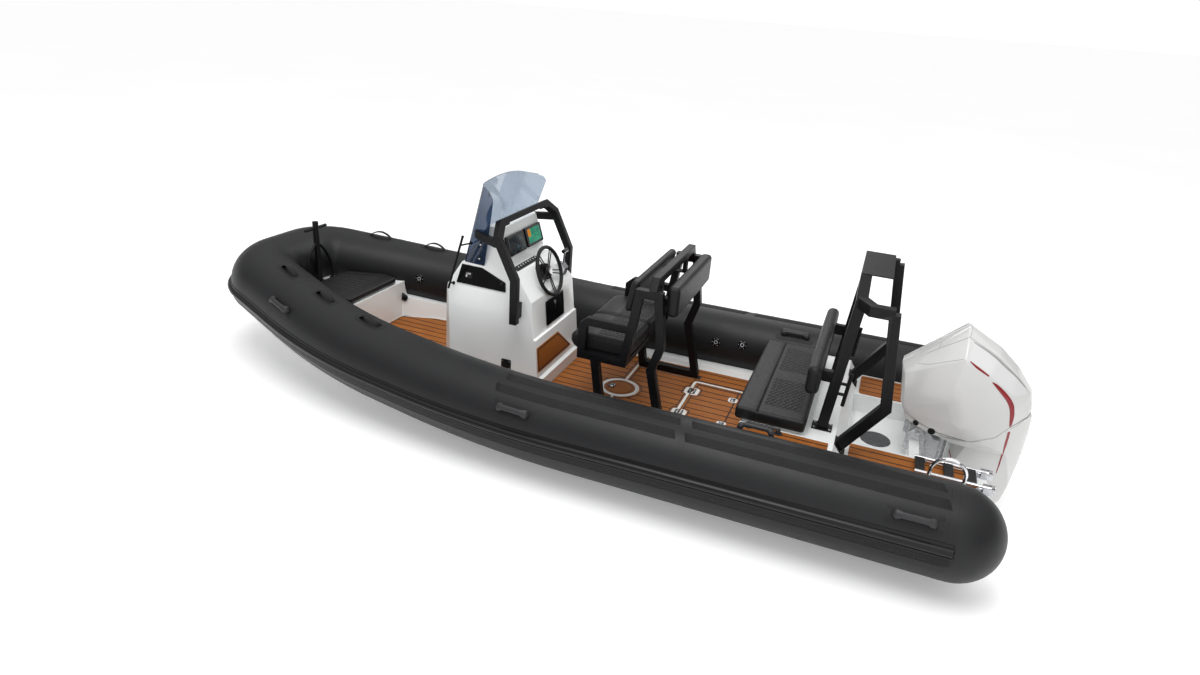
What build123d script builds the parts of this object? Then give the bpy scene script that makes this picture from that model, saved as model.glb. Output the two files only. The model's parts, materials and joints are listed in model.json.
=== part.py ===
"""Rigid inflatable boat with an outboard engine, as an assembly of separate pieces.

Frame, in millimetres: +X towards the bow, +Y to port, +Z up. The origin is on the
waterline, on the centreline, below the after edge of the two stern platforms.
"""
import math
import os

from build123d import *

# ------------------------------------------------------------------ driving dimensions

# air tubes
TUBE_R = 265.0               # radius of the air tubes
TUBE_STERN = (200.0, 985.0, 350.0)    # centre of the domed stern end
TUBE_KNEE = (3000.0, 962.0, 334.0)    # where the tubes begin to close in
TUBE_SHOULDER = (4350.0, 793.0, 435.0)  # where they turn in and rise
TUBE_CORNER = (5497.0, 375.0, 612.0)  # corner before the straight bow run
BEND_REACH = 620.0           # length each gentle bend takes on either side of its point
BOW_BEND_R = 330.0           # centreline radius of the two bow corners
BAFFLE_SHARE = 0.45          # where the bow chamber starts, from shoulder to corner
STRAKE_PROUD = 30.0          # how far the rub strake stands out
STRAKE_HALF = 60.0           # half its height
STRAKE_RISE = [(200.0, 26.0), (2000.0, 14.0), (4800.0, -30.0), (5800.0, -40.0)]   # x, its middle above the tube's

# hull
DECK_Z = 170.0               # top of the hull moulding under the cockpit
FLOOR_T = 20.0               # cockpit floor laminate
TRANSOM_X = 380.0            # after face of the transom
TRANSOM_T = 60.0             # its thickness
TRANSOM_TOP = 400.0          # its top edge, where the engine hangs
BULKHEAD_X = 4640.0          # after face of the bow locker
FOREDECK_Z = 480.0           # top of the hull moulding at the bow
FOREDECK_T = 20.0            # foredeck laminate
FOREDECK_END = 5345.0        # forward end of the foredeck panel

# stern moulding
PLATFORM_Z = 400.0           # stern platforms
PLATFORM_UNDER = 40.0        # underside of the platforms' pods
WELL_HALF = 360.0            # half width of the engine well
WELL_FLOOR = 270.0
WELL_FRONT = 800.0           # forward wall of the well at its foot
BENCH_AFT = 885.0            # after edge of the bench top
BENCH_FRONT = 1460.0
BENCH_TOP = 485.0
BENCH_SLOPE = 65.0           # how far its after face runs aft going down
MAT_T = 6.0                  # deck mats

# console
CONSOLE_AFT = 2950.0         # foot of the console step
CONSOLE_HALF = 380.0         # half width at the floor
CONSOLE_NOSE_R = 110.0       # plan radius of its forward corners
POD_HALF = 284.0             # half width of the instrument pod
SCREEN_T = 7.0               # windscreen sheet
SCREEN_GAP = 1.0             # between the pod and the windscreen's wings
RAIL_SIDE = 54.0             # console grab rail, square tube
RAIL_Y = 455.0               # its uprights from the centreline
WHEEL_R = 175.0              # steering wheel, to the rim's centre
WHEEL_RIM = 14.0             # rim section radius
WHEEL_RAKE = 20.0            # degrees its face leans forward
WHEEL_HUB = (3077.0, 0.0, 1004.0)

# helm seat
SEAT_SIDE = 54.0             # frame tube
SEAT_Y = 465.0               # side frames from the centreline
SEAT_PAN_Z = 645.0
SEAT_PAN_T = 15.0
SEAT_CUSHION_T = 130.0
SEAT_FRONT = 2690.0
SEAT_BACK = 2250.0

# stern arch
ARCH_SIDE = 65.0             # arch tube
ARCH_FRONT_Y = 412.0         # front hoop's legs from the centreline
ARCH_REAR_Y = 530.0          # rear hoop's legs
ARCH_TOP = 1465.0
ARCH_CORNER = 1375.0
ARCH_FLAT = 265.0            # half length of the flat top
ARCH_FOOT_X = 975.0
ARCH_HEAD_X = 872.0
ARCH_REAR_X = 716.0          # rear hoop at the corner
ARCH_KNEE = (645.0, 766.0)   # rear hoop's knee (x, z)
ARCH_FOOT_T = 8.0            # foot plates
ROLL_OUT = 56.0              # backrest roll, forward of the arch's legs

# engine
TILT_AXIS = (400.0, 455.0)   # tilt tube (x, z)
STEER_X = 240.0              # steering tube
PROP_AXIS_Z = -420.0
PROP_X = -30.0               # middle of the propeller
PROP_R = 165.0
PLATE_Z = -234.0             # anti-ventilation plate

CLEAR = 5.0                  # running clearance between moving pieces
BORE_GAP = 0.05              # radial clearance of pins and shafts in their bores
SHAFT_R = 12.0               # steering wheel and propeller shafts
SEAT_GAP = 0.3               # between soft or curved faces on different bodies


# ------------------------------------------------------------------ helpers

def mirrored(shape):
    """The same piece on the starboard side."""
    return mirror(shape, about=Plane.XZ)


def both(shape):
    """A port piece and its starboard twin as one compound."""
    return Compound(children=[*shape.solids(), *mirrored(shape).solids()])


def prism(points, axis, start, end):
    """Extrude an outline along an axis. Points are (x, z) for Y, (y, z) for X, (x, y) for Z."""
    place = {
        "x": lambda a, b: (start, a, b),
        "y": lambda a, b: (a, start, b),
        "z": lambda a, b: (a, b, start),
    }[axis]
    way = {"x": (1, 0, 0), "y": (0, 1, 0), "z": (0, 0, 1)}[axis]
    outline = Polyline([place(a, b) for a, b in points], close=True)
    return extrude(make_face(outline), amount=end - start, dir=way)


def box(x0, x1, y0, y1, z0, z1):
    """A block between two corners."""
    return Pos((x0 + x1) / 2, (y0 + y1) / 2, (z0 + z1) / 2) * Box(x1 - x0, y1 - y0, z1 - z0)


def rod(start, end, radius):
    """A round bar between two points."""
    a, b = Vector(*start), Vector(*end)
    return Solid.make_cylinder(radius, (b - a).length, Plane(origin=a, z_dir=(b - a).normalized()))


def rounded_wire(points, reaches):
    """Straight runs joined by tangent arcs. Each reach is the arc's length along its runs."""
    pts = [Vector(*p) for p in points]
    edges = []
    here = pts[0]
    for before, corner, after, reach in zip(pts, pts[1:], pts[2:], reaches):
        back = (before - corner).normalized()
        ahead = (after - corner).normalized()
        half = math.radians(180.0 - back.get_angle(ahead)) / 2.0
        radius = reach / math.tan(half)
        inward = (back + ahead).normalized()
        enter, leave = corner + back * reach, corner + ahead * reach
        middle = corner + inward * (math.hypot(radius, reach) - radius)
        if (enter - here).length > 1e-6:
            edges.append(Edge.make_line(here, enter))
        edges.append(Edge.make_three_point_arc(enter, middle, leave))
        here = leave
    edges.append(Edge.make_line(here, pts[-1]))
    return Wire(edges)


def round_pipe(points, reaches, radius):
    """A round tube along a path of runs and arcs."""
    path = rounded_wire(points, reaches)
    start = Plane(origin=path @ 0, z_dir=path % 0)
    return sweep(start * Circle(radius), path=path)


def square_pipe(points, side, x_dir, corner=6.0):
    """A square tube with mitred bends."""
    path = Polyline([tuple(p) for p in points])
    start = Plane(origin=path @ 0, x_dir=x_dir, z_dir=path % 0)
    return sweep(start * RectangleRounded(side, side, corner), path=path, transition=Transition.RIGHT)


def strip(points, width, closed=False):
    """Outline of a flat bar of even width along a path, its corners mitred: left side, right side."""
    n = len(points)
    left, right = [], []
    for i, (x, z) in enumerate(points):
        before = points[i - 1] if i or closed else None
        after = points[(i + 1) % n] if i < n - 1 or closed else None
        runs = []
        for a, b in ((before, (x, z)), ((x, z), after)):
            if a is not None and b is not None:
                length = math.hypot(b[0] - a[0], b[1] - a[1])
                runs.append(((b[0] - a[0]) / length, (b[1] - a[1]) / length))
        sx = sum(-r[1] for r in runs) / len(runs)
        sz = sum(r[0] for r in runs) / len(runs)
        scale = width / 2 / (sx * sx + sz * sz)
        left.append((x + sx * scale, z + sz * scale))
        right.append((x - sx * scale, z - sz * scale))
    return left, right


def flat_bar(points, width, y0, y1):
    """A mitred bar lying in the plane of X and Z."""
    left, right = strip(points, width)
    return prism(left + right[::-1], "y", y0, y1)


def flat_ring(points, width, y0, y1):
    """A closed mitred frame lying in the plane of X and Z."""
    left, right = strip(points, width, closed=True)
    outer, inner = sorted((prism(left, "y", y0, y1), prism(right, "y", y0, y1)), key=lambda p: -p.volume)
    return outer - inner


def between(a, b, share):
    """A point part of the way from a to b."""
    return tuple(p + (q - p) * share for p, q in zip(a, b))


# ------------------------------------------------------------------ air tubes

def bow_reach():
    """Run taken by a bow corner's arc on either side."""
    a = Vector(*TUBE_SHOULDER) - Vector(*TUBE_CORNER)
    b = Vector(0, -1, 0)
    return BOW_BEND_R * math.tan(math.radians(180.0 - a.get_angle(b)) / 2.0)


BAFFLE = between(TUBE_SHOULDER, TUBE_CORNER, BAFFLE_SHARE)


def tube_centre(x):
    """Centre (y, z) of the port tube's straight runs at a station."""
    runs = [TUBE_STERN, TUBE_KNEE, TUBE_SHOULDER, TUBE_CORNER]
    for a, b in zip(runs, runs[1:]):
        if x <= b[0] or b is runs[-1]:
            share = (x - a[0]) / (b[0] - a[0])
            return a[1] + (b[1] - a[1]) * share, a[2] + (b[2] - a[2]) * share


def path_at(x):
    """Centre and direction of the port tube at a station, bends included."""
    reach = bow_reach()
    run = [TUBE_STERN, TUBE_KNEE, TUBE_SHOULDER, TUBE_CORNER, (TUBE_CORNER[0], 0.0, TUBE_CORNER[2])]
    path = rounded_wire(run, [BEND_REACH, BEND_REACH * 0.8, reach])
    low, high = 0.0, 1.0
    for _ in range(30):
        middle = (low + high) / 2
        if (path @ middle).X < x:
            low = middle
        else:
            high = middle
    return path @ low, path % low


def flipped(point):
    """The starboard twin of a point."""
    return (point[0], -point[1], point[2])


def side_tube():
    """Port side chamber, from its domed stern end to the baffle."""
    run = [TUBE_STERN, TUBE_KNEE, TUBE_SHOULDER, BAFFLE]
    chamber = round_pipe(run, [BEND_REACH, BEND_REACH * 0.8], TUBE_R)
    return chamber + Pos(*TUBE_STERN) * Sphere(TUBE_R)


def bow_tube():
    """Bow chamber, between the two baffles."""
    reach = bow_reach()
    run = [BAFFLE, TUBE_CORNER, flipped(TUBE_CORNER), flipped(BAFFLE)]
    return round_pipe(run, [reach, reach], TUBE_R)


STRAKE_SAG = 0.25            # how far its facets may stray from the tube's bends


def strake_rise(x):
    """Height of the strake's middle above the tube's centre at a station."""
    for (xa, ra), (xb, rb) in zip(STRAKE_RISE, STRAKE_RISE[1:]):
        if x <= xb:
            return ra + (rb - ra) * max(0.0, (x - xa) / (xb - xa))
    return STRAKE_RISE[-1][1]


def strake_section(point, run):
    """The strake's outline on the outboard side of the tube, square to its run."""
    up = (Vector(0, 0, 1) - run * run.Z).normalized()
    out = up.cross(run)
    rise = strake_rise(point.X)
    lip, h = STRAKE_PROUD, STRAKE_HALF
    # (outboard from the tube's skin level with its middle, above the strake's middle)
    outer = [(3, -h), (0.45 * lip, -h + 12), (0.45 * lip, -14), (0.8 * lip, -4), (lip, 10), (lip, h - 26),
             (0.75 * lip, h - 14), (0.3 * lip, h - 8), (3, h)]
    outline = [(math.sqrt(TUBE_R ** 2 - (b + rise) ** 2) + a, b + rise) for a, b in outer]
    high = math.asin((h + rise) / TUBE_R)
    low = math.asin((-h + rise) / TUBE_R)
    seat = TUBE_R / math.cos((high - low) / 6) + SEAT_GAP
    for i in range(4):
        angle = high + (low - high) * i / 3
        outline.append((seat * math.cos(angle), seat * math.sin(angle)))
    return make_face(Polyline([tuple(point + out * a + up * b) for a, b in outline], close=True))


def rub_strake(run, reaches):
    """Rubber fender with two lips along one chamber."""
    sections = []
    for edge in rounded_wire(run, reaches).edges():
        steps = 1
        if edge.geom_type == GeomType.CIRCLE:
            share = 2 * math.degrees(math.acos(1 - STRAKE_SAG / (edge.radius + TUBE_R)))
            steps = math.ceil((edge % 0).get_angle(edge % 1) / share)
        first = 0 if not sections else 1
        sections += [strake_section(edge @ (i / steps), edge % (i / steps)) for i in range(first, steps + 1)]
    return loft(sections, ruled=True)


def side_strake():
    """Fender of the port chamber."""
    return rub_strake([TUBE_STERN, TUBE_KNEE, TUBE_SHOULDER, BAFFLE], [BEND_REACH, BEND_REACH * 0.8])


def bow_strake():
    """Fender of the bow chamber."""
    reach = bow_reach()
    return rub_strake([BAFFLE, TUBE_CORNER, flipped(TUBE_CORNER), flipped(BAFFLE)], [reach, reach])


# ------------------------------------------------------------------ hull and liner

# stations of the hull: x, keel height, chine half width, chine height
HULL_STATIONS = [
    (TRANSOM_X, -240.0, 660.0, 15.0),
    (2400.0, -240.0, 650.0, 20.0),
    (3600.0, -212.0, 590.0, 60.0),
    (4400.0, -132.0, 450.0, 130.0),
    (4950.0, -10.0, 290.0, 220.0),
    (5300.0, 140.0, 150.0, 300.0),
    (5500.0, 270.0, 45.0, 345.0),
]
CHINE_FLAT = 48.0
LOCKER = (4705.0, 5075.0, 195.0, 250.0)   # locker pocket: after, forward, half width, floor


def hull(tubes):
    """V-bottomed hull with its transom and the bow locker, cradling the tubes."""
    sections = []
    for x, keel, chine_y, chine_z in HULL_STATIONS:
        ty, tz = tube_centre(x)
        bilge = (max(ty - 0.60 * TUBE_R, chine_y + CHINE_FLAT + 8), tz - 0.85 * TUBE_R)
        half = [(chine_y, chine_z), (chine_y + CHINE_FLAT, chine_z + 4), bilge,
                (max(ty - 60, chine_y + CHINE_FLAT + 10), FOREDECK_Z + 20)]
        ring = [(0, keel)] + half + [(-y, z) for y, z in reversed(half)]
        sections.append(make_face(Polyline([(x, y, z) for y, z in ring], close=True)))
    body = loft(sections, ruled=True)
    body = body - box(TRANSOM_X - 100, BULKHEAD_X, -1400, 1400, DECK_Z, 900)
    body = body - box(TRANSOM_X - 100, 5800, -1400, 1400, FOREDECK_Z, 900)
    for tube in tubes:
        body = body - tube
    aft, fore, half, floor = LOCKER
    body = body - box(aft, fore, -half, half, floor, 900)
    board = box(TRANSOM_X, TRANSOM_X + TRANSOM_T, -WELL_HALF, WELL_HALF, DECK_Z, TRANSOM_TOP)
    return body + board


COAMING_IN = 345.0    # the coaming's inner foot, inboard of the tube's centre
COAMING_DROP = 110.0  # its top, below the tube's centre


def deck_liner(tubes, hatch):
    """Cockpit floor with a coaming along each side, open over the fuel hatch."""
    stations = [BENCH_FRONT, TUBE_KNEE[0], TUBE_SHOULDER[0], BULKHEAD_X]
    sections, edge = [], []
    for x in stations:
        ty, tz = tube_centre(x)
        foot = ty - COAMING_IN
        ring = [(foot, DECK_Z), (foot, DECK_Z + FLOOR_T), (foot + 22, tz - COAMING_DROP),
                (ty - 0.4 * TUBE_R, tz - COAMING_DROP), (ty - 0.78 * TUBE_R, DECK_Z)]
        sections.append(make_face(Polyline([(x, y, z) for y, z in ring], close=True)))
        edge.append((x, foot))
    side = loft(sections, ruled=True)
    outline = edge + [(x, -y) for x, y in reversed(edge)]
    floor = prism(outline, "z", DECK_Z, DECK_Z + FLOOR_T)
    liner = floor + side + mirrored(side)
    for tube in tubes:
        liner = liner - tube
    x0, x1, half = hatch
    return liner - box(x0, x1, -half, half, DECK_Z - 1, DECK_Z + FLOOR_T + 1)


def stern_moulding(tubes):
    """Bench base, stern platforms and engine well in one moulding."""
    wall_x = BENCH_AFT - BENCH_SLOPE
    profile = [(0, PLATFORM_UNDER), (0, PLATFORM_Z), (wall_x, PLATFORM_Z), (BENCH_AFT, BENCH_TOP),
               (BENCH_FRONT, BENCH_TOP), (BENCH_FRONT, DECK_Z), (TRANSOM_X, DECK_Z),
               (TRANSOM_X, PLATFORM_UNDER)]
    body = prism(profile, "y", -900, 900)
    well = [(TRANSOM_X + TRANSOM_T, WELL_FLOOR), (WELL_FRONT, WELL_FLOOR), (wall_x, PLATFORM_Z),
            (wall_x, PLATFORM_Z + 1), (TRANSOM_X + TRANSOM_T, PLATFORM_Z + 1)]
    body = body - prism(well, "y", -WELL_HALF, WELL_HALF)
    body = body - box(-10, TRANSOM_X + TRANSOM_T, -WELL_HALF, WELL_HALF, 0, PLATFORM_Z + 10)
    for tube in tubes:
        body = body - tube
    return body - box(BENCH_AFT + 215, BENCH_FRONT - 35, -540, 540, DECK_Z + 30, BENCH_TOP + 10)


def foredeck(tubes):
    """Foredeck panel with the locker's opening."""
    x0, x1 = BULKHEAD_X, FOREDECK_END
    outline = [(x0, tube_centre(x0)[0] - 120), (x1, tube_centre(x1)[0] - 120)]
    outline += [(x, -y) for x, y in reversed(outline)]
    panel = prism(outline, "z", FOREDECK_Z, FOREDECK_Z + FOREDECK_T)
    for tube in tubes:
        panel = panel - tube
    aft, fore, half, _ = LOCKER
    return panel - box(aft, fore, -half, half, FOREDECK_Z - 1, FOREDECK_Z + FOREDECK_T + 1)


# bow lid and cushion outline: x, half width
BOW_PAD_AFT = 4650.0         # after edge of the bow pad
BOW_PAD_AFT_HALF = 300.0     # half width there
BOW_PAD_SIDE = 4790.0        # where its sides meet the tubes
BOW_PAD_FRONT = 5118.0
BOW_PAD_GAP = 6.0            # between the pad and the tubes
BOW_LID_T = 12.0
BOW_PAD_T = 50.0
BOW_LID_INSET = 25.0


def tube_inner_half(x, gap):
    """Half width between the tubes at a station, less a gap."""
    centre, run = path_at(x)
    return centre.Y - (TUBE_R + gap) / math.hypot(run.X, run.Z)


def bow_pad_outline(inset):
    """Plan of the bow pad, its sides set in."""
    half = [(BOW_PAD_AFT + (BOW_LID_INSET if inset else 0), BOW_PAD_AFT_HALF - inset),
            (BOW_PAD_SIDE, tube_inner_half(BOW_PAD_SIDE, BOW_PAD_GAP) - inset),
            (BOW_PAD_FRONT, tube_inner_half(BOW_PAD_FRONT, BOW_PAD_GAP) - inset)]
    return half + [(x, -y) for x, y in reversed(half)]


def bow_lid():
    """Lid of the bow locker, hinged along its after edge."""
    top = FOREDECK_Z + FOREDECK_T
    return prism(bow_pad_outline(3 * BOW_LID_INSET), "z", top, top + BOW_LID_T)


def bow_cushion():
    """Upholstered pad on the bow lid."""
    foot = FOREDECK_Z + FOREDECK_T + BOW_LID_T
    return prism(bow_pad_outline(0.0), "z", foot, foot + BOW_PAD_T)


POST_GAP = 3.0                # between its foot and the bow tube
POST_TOP = 1028.0
POST_R = 24.0
POST_X = TUBE_CORNER[0] - TUBE_R - POST_R - POST_GAP
BRACE_RUNS = 8


def bow_post():
    """Mooring post with a cross bar and two curved braces on the foredeck."""
    foot = FOREDECK_Z + FOREDECK_T
    post = rod((POST_X, 0, foot), (POST_X, 0, POST_TOP), POST_R)
    bar = rod((POST_X, -122, POST_TOP - 53), (POST_X, 122, POST_TOP - 53), 12)
    plate = box(POST_X - 56, POST_X + 28, -60, 60, foot, foot + 8)
    result = post + bar + plate
    for side in (1, -1):
        bend = Edge.make_three_point_arc((POST_X, 8 * side, 850), (POST_X, 112 * side, 720),
                                         (POST_X, 160 * side, foot + 4))
        path = Polyline([tuple(bend @ (i / BRACE_RUNS)) for i in range(BRACE_RUNS + 1)])
        start = Plane(origin=path @ 0, x_dir=(1, 0, 0), z_dir=path % 0)
        result += sweep(start * RegularPolygon(11.5, 8), path=path, transition=Transition.RIGHT)
        result += box(POST_X - 30, POST_X + 20, 160 * side - 20, 160 * side + 20, foot, foot + 6)
    return result - box(POST_X - 90, POST_X + 90, -250, 250, foot - 60, foot)


# ------------------------------------------------------------------ floor pieces

HATCH = (1622.0, 1962.0, 372.0)      # fuel hatch in the floor: after, forward, half width
HATCH_GAP = 5.0
ROUND_HATCH = (2460.0, 0.0, 135.0)   # centre x, y and radius of the round deck plate


def floor_hatch():
    """Lid over the fuel tank space, hinged along its forward edge."""
    x0, x1, half = HATCH
    g = HATCH_GAP
    return box(x0 + g, x1 - g, -half + g, half - g, DECK_Z + SEAT_GAP, DECK_Z + FLOOR_T + MAT_T)


def floor_mat():
    """Caulked deck mat over the cockpit floor, cut round console, hatches and seat feet."""
    front = [(x, tube_centre(x)[0] - COAMING_IN - 14)
             for x in (BENCH_FRONT + 10, TUBE_KNEE[0], TUBE_SHOULDER[0], BULKHEAD_X - 8)]
    outline = front + [(x, -y) for x, y in reversed(front)]
    z0 = DECK_Z + FLOOR_T
    mat = prism(outline, "z", z0, z0 + MAT_T)
    x0, x1, half = HATCH
    mat = mat - box(x0 - 4, x1 + 4, -half - 4, half + 4, z0 - 1, z0 + 20)
    cx, cy, r = ROUND_HATCH
    mat = mat - Pos(cx, cy, z0) * Cylinder(r + 4, 40)
    mat = mat - prism([(x, y) for x, y in console_plan(2)], "z", z0 - 1, z0 + 20)
    for side in (1, -1):
        y = SEAT_Y * side
        mat = mat - box(1950, 2465, y - SEAT_SIDE / 2 - 4, y + SEAT_SIDE / 2 + 4, z0 - 1, z0 + 20)
    return mat


def round_hatch():
    """Round deck plate over the bilge."""
    cx, cy, r = ROUND_HATCH
    z0 = DECK_Z + FLOOR_T
    ring = Pos(cx, cy, z0 + 4) * Cylinder(r, 8)
    return ring - Pos(cx - 0.55 * r, cy, z0 + 8) * Box(46, 26, 6)


# ------------------------------------------------------------------ console

# side outline of the console, from the step's foot up the after face and down the nose
CONSOLE_SIDE = [
    (2950.0, 285.0), (2974.0, 300.0), (3000.0, 592.0), (3018.0, 600.0), (3045.0, 870.0),
    (3190.0, 1032.0), (3262.0, 1082.0), (3341.0, 1336.0), (3369.0, 1348.0), (3437.0, 1348.0),
    (3622.0, 1085.0), (3745.0, 850.0),
]
CONSOLE_NOSE = 3805.0
CONSOLE_SHOULDER = (360.0, 870.0)    # half width and height where the sides turn in
CONSOLE_BROW = (POD_HALF, 1085.0)


def console_plan(grow=0.0):
    """Plan outline of the console's foot, optionally grown."""
    half = CONSOLE_HALF + grow
    front, cut = CONSOLE_NOSE + grow, CONSOLE_NOSE_R
    side = [(CONSOLE_AFT - grow, half), (front - cut, half), (front, half - cut)]
    return side + [(x, -y) for x, y in reversed(side)]


def console_sides():
    """Everything between the console's two sides."""
    half = [(CONSOLE_HALF, DECK_Z + FLOOR_T), CONSOLE_SHOULDER, CONSOLE_BROW, (POD_HALF, 1400)]
    return prism(half + [(-y, z) for y, z in reversed(half)], "x", CONSOLE_AFT - 50, CONSOLE_NOSE + 50)


def console():
    """Console moulding with its footrest, instrument pod, glovebox and side locker."""
    z0 = DECK_Z + FLOOR_T
    outline = [(CONSOLE_AFT, z0)] + CONSOLE_SIDE + [(CONSOLE_NOSE, z0)]
    side = prism(outline, "y", -500, 500)
    plan = prism(console_plan(), "z", z0, 1500)
    nose = [e for e in plan.edges().filter_by(Axis.Z) if e.center().X > CONSOLE_AFT + 100]
    plan = fillet(nose, 60)
    body = side & console_sides() & plan
    pod_foot = SCREEN_FOOT[3]
    body = body - (box(CONSOLE_AFT, CONSOLE_NOSE + 50, -500, 500, pod_foot, 1500) - screen_block(SCREEN_T + SCREEN_GAP))
    x0, x1, zl, zh, y0, y1 = GLOVEBOX
    body = body - box(x0 - 60, x0 + 190, y0, y1, zl, zh)
    return body - side_pocket()


GLOVEBOX = (3000.0, 3060.0, 640.0, 800.0, -150.0, 130.0)   # x range, z range, y range
POCKET = [(3275.0, 922.0), (3640.0, 925.0), (3620.0, 1030.0), (3470.0, 1028.0), (3290.0, 958.0)]
POCKET_DEEP = 110.0


def side_pocket():
    """The side locker's recess, cut in the console's port shoulder."""
    return prism(POCKET, "y", CONSOLE_SHOULDER[0] - POCKET_DEEP, 420.0)


def console_aft_x(z):
    """After face of the console at a height."""
    pts = CONSOLE_SIDE
    for (xa, za), (xb, zb) in zip(pts, pts[1:]):
        if za <= z <= zb and zb > za:
            return xa + (xb - xa) * (z - za) / (zb - za)
    return pts[0][0]


DOOR_T = 10.0


def glovebox_door():
    """Flat door over the glovebox, hinged along its lower edge."""
    _, _, zl, zh, y0, y1 = GLOVEBOX
    lo, hi = zl - 12, zh + 12
    a, b = console_aft_x(lo) - 0.6, console_aft_x(hi) - 0.6
    return prism([(a - DOOR_T, lo), (a, lo), (b, hi), (b - DOOR_T, hi)], "y", y0 - 12, y1 + 12)


def shoulder_y(z):
    """Half width of the console's upper side at a height."""
    (y0, z0), (y1, z1) = CONSOLE_SHOULDER, CONSOLE_BROW
    return y0 + (y1 - y0) * (z - z0) / (z1 - z0)


def side_hatch():
    """Door of the side locker, lying on the console's port shoulder, hinged at its foot."""
    grow = 12.0
    aft, front, top, knee, brow = POCKET
    outline = [(aft[0] - 2 * grow, aft[1] - grow), (front[0] + grow, front[1] - grow),
               (top[0] + grow, top[1] + grow), (knee[0] - 4, knee[1] + grow),
               (brow[0] - 2 * grow, brow[1] + 2 + grow)]
    slab = prism(outline, "y", 250, 420)
    skin = [(shoulder_y(880) + 0.6, 880), (shoulder_y(1100) + 0.6, 1100),
            (shoulder_y(1100) + 0.6 + DOOR_T, 1100), (shoulder_y(880) + 0.6 + DOOR_T, 880)]
    return slab & prism(skin, "x", 3100, 3800)


# windscreen: each row is the wing's after edge (x, half width), the bend's corner and radius, height
SCREEN_FOOT = ((3456.0, 300.0), (3634.0, 292.0), 40.0, 1056.0)
SCREEN_HEAD = ((3316.0, 427.0), (3466.0, 292.0), 95.0, 1700.0)
SCREEN_WING = (3326.0, 1560.0, 3372.0, 1606.0)   # its upper after corner, cut off: low and high (x, z)
SCREEN_CROWN = 1666.0        # top of the front panel in the middle


def screen_plan(row, inset, reach):
    """Plan outline behind the windscreen at one height, the given depth inside its outer skin."""
    (ax, ay), (bx, by), radius, z = row
    rake = (SCREEN_FOOT[1][0] - SCREEN_HEAD[1][0]) / (SCREEN_HEAD[3] - SCREEN_FOOT[3])
    length = math.hypot(ax - bx, ay - by)
    ux, uy = (ax - bx) / length, (ay - by) / length
    front = bx - inset * math.hypot(1, rake)
    # the wing's line moved inwards, met with the front panel's
    px, py = bx + uy * inset, by - abs(ux) * inset
    corner = (front, py + (front - px) * uy / ux)
    end = (bx + (ax - bx) * reach, corner[1] + (bx + (ax - bx) * reach - front) * uy / ux)
    outline = [end, corner, (corner[0], -corner[1]), (end[0], -end[1])]
    face = make_face(Polyline([(x, y, z) for x, y in outline], close=True))
    bends = [v for v in face.vertices() if abs(v.X - front) < 1e-6]
    return fillet(bends, radius - inset)


def screen_block(inset=0.0, reach=2.0):
    """Solid behind the windscreen's outer skin, or the given depth inside it."""
    return loft([screen_plan(SCREEN_FOOT, inset, reach), screen_plan(SCREEN_HEAD, inset, reach)], ruled=True)


def windscreen():
    """Bent acrylic sheet: a raked front panel with a wing flaring out on each side."""
    sheet = screen_block() - screen_block(SCREEN_T, 2.4)
    (foot_x, _), _, _, foot_z = SCREEN_FOOT
    xa, za, xb, zb = SCREEN_WING
    mask = prism([(foot_x, foot_z - 5), (3700, foot_z - 5), (3700, 1750), (xb + 60, 1750), (xb, zb),
                  (xb - 26, zb - 8), (xa + 4, za + 14), (xa, za)], "y", -500, 500)
    arch = make_face([Edge.make_line((3000, -500, 1000), (3000, 500, 1000)),
                      Edge.make_line((3000, 500, 1000), (3000, 500, 1575)),
                      Edge.make_three_point_arc((3000, 500, 1575), (3000, 0, SCREEN_CROWN), (3000, -500, 1575)),
                      Edge.make_line((3000, -500, 1575), (3000, -500, 1000))])
    crown = extrude(arch, amount=900, dir=(1, 0, 0))
    return sheet & mask & crown


# grab rail: x, half width, height, up the port side to the middle
RAIL = [(3128.0, RAIL_Y, 735.0), (3128.0, RAIL_Y, 1055.0), (3262.0, RAIL_Y, 1325.0),
        (3298.0, 355.0, 1402.0), (3298.0, 0.0, 1402.0)]


def grab_rail():
    """Square tube hoop over the console, on a bracket at each side."""
    run = RAIL + [flipped(p) for p in reversed(RAIL[:-1])]
    rail = square_pipe(run, RAIL_SIDE, (1, 0, 0))
    inner = RAIL_Y - RAIL_SIDE / 2
    arm = prism([(3240, RAIL_Y + 8), (3285, RAIL_Y + 8), (3512, 336), (3512, 290), (3474, 290),
                 (3462, 336), (3240, RAIL_Y - 15)], "z", 1262, 1262 + RAIL_SIDE)
    rail += arm + mirrored(arm) - screen_block()
    for side in (1, -1):
        a, b = sorted(((CONSOLE_SHOULDER[0] - 7) * side, (inner + 4) * side))
        rail += box(3116, 3140, a, b, 757, 868)
    return rail - console_sides()


def display(side):
    """Chart display on the instrument pod."""
    (xa, za), (xb, zb) = CONSOLE_SIDE[6], CONSOLE_SIDE[7]
    lean = math.atan2(xb - xa, zb - za)
    up = Vector(math.sin(lean), 0, math.cos(lean))
    out = Vector(-math.cos(lean), 0, math.sin(lean))
    centre = Vector(xa, 0, za) + up * 130 + Vector(0, 138 * side, 0) + out * 12.5
    plane = Plane(origin=centre, x_dir=(0, 1, 0), z_dir=out)
    case = plane * Box(250, 142, 25)
    return fillet(case.edges().filter_by(lambda e: abs((e % 0.5).dot(out)) > 0.99), 10)


def switch_panel():
    """Switch strip under the displays."""
    (xa, za), (xb, zb) = CONSOLE_SIDE[5], CONSOLE_SIDE[6]
    lean = math.atan2(xb - xa, zb - za)
    up = Vector(math.sin(lean), 0, math.cos(lean))
    out = Vector(-math.cos(lean), 0, math.sin(lean))
    centre = Vector(xa, 0, za) + up * 44 + Vector(0, 90, 0) + out * 4
    return Plane(origin=centre, x_dir=(0, 1, 0), z_dir=out) * Box(330, 40, 8)


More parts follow.
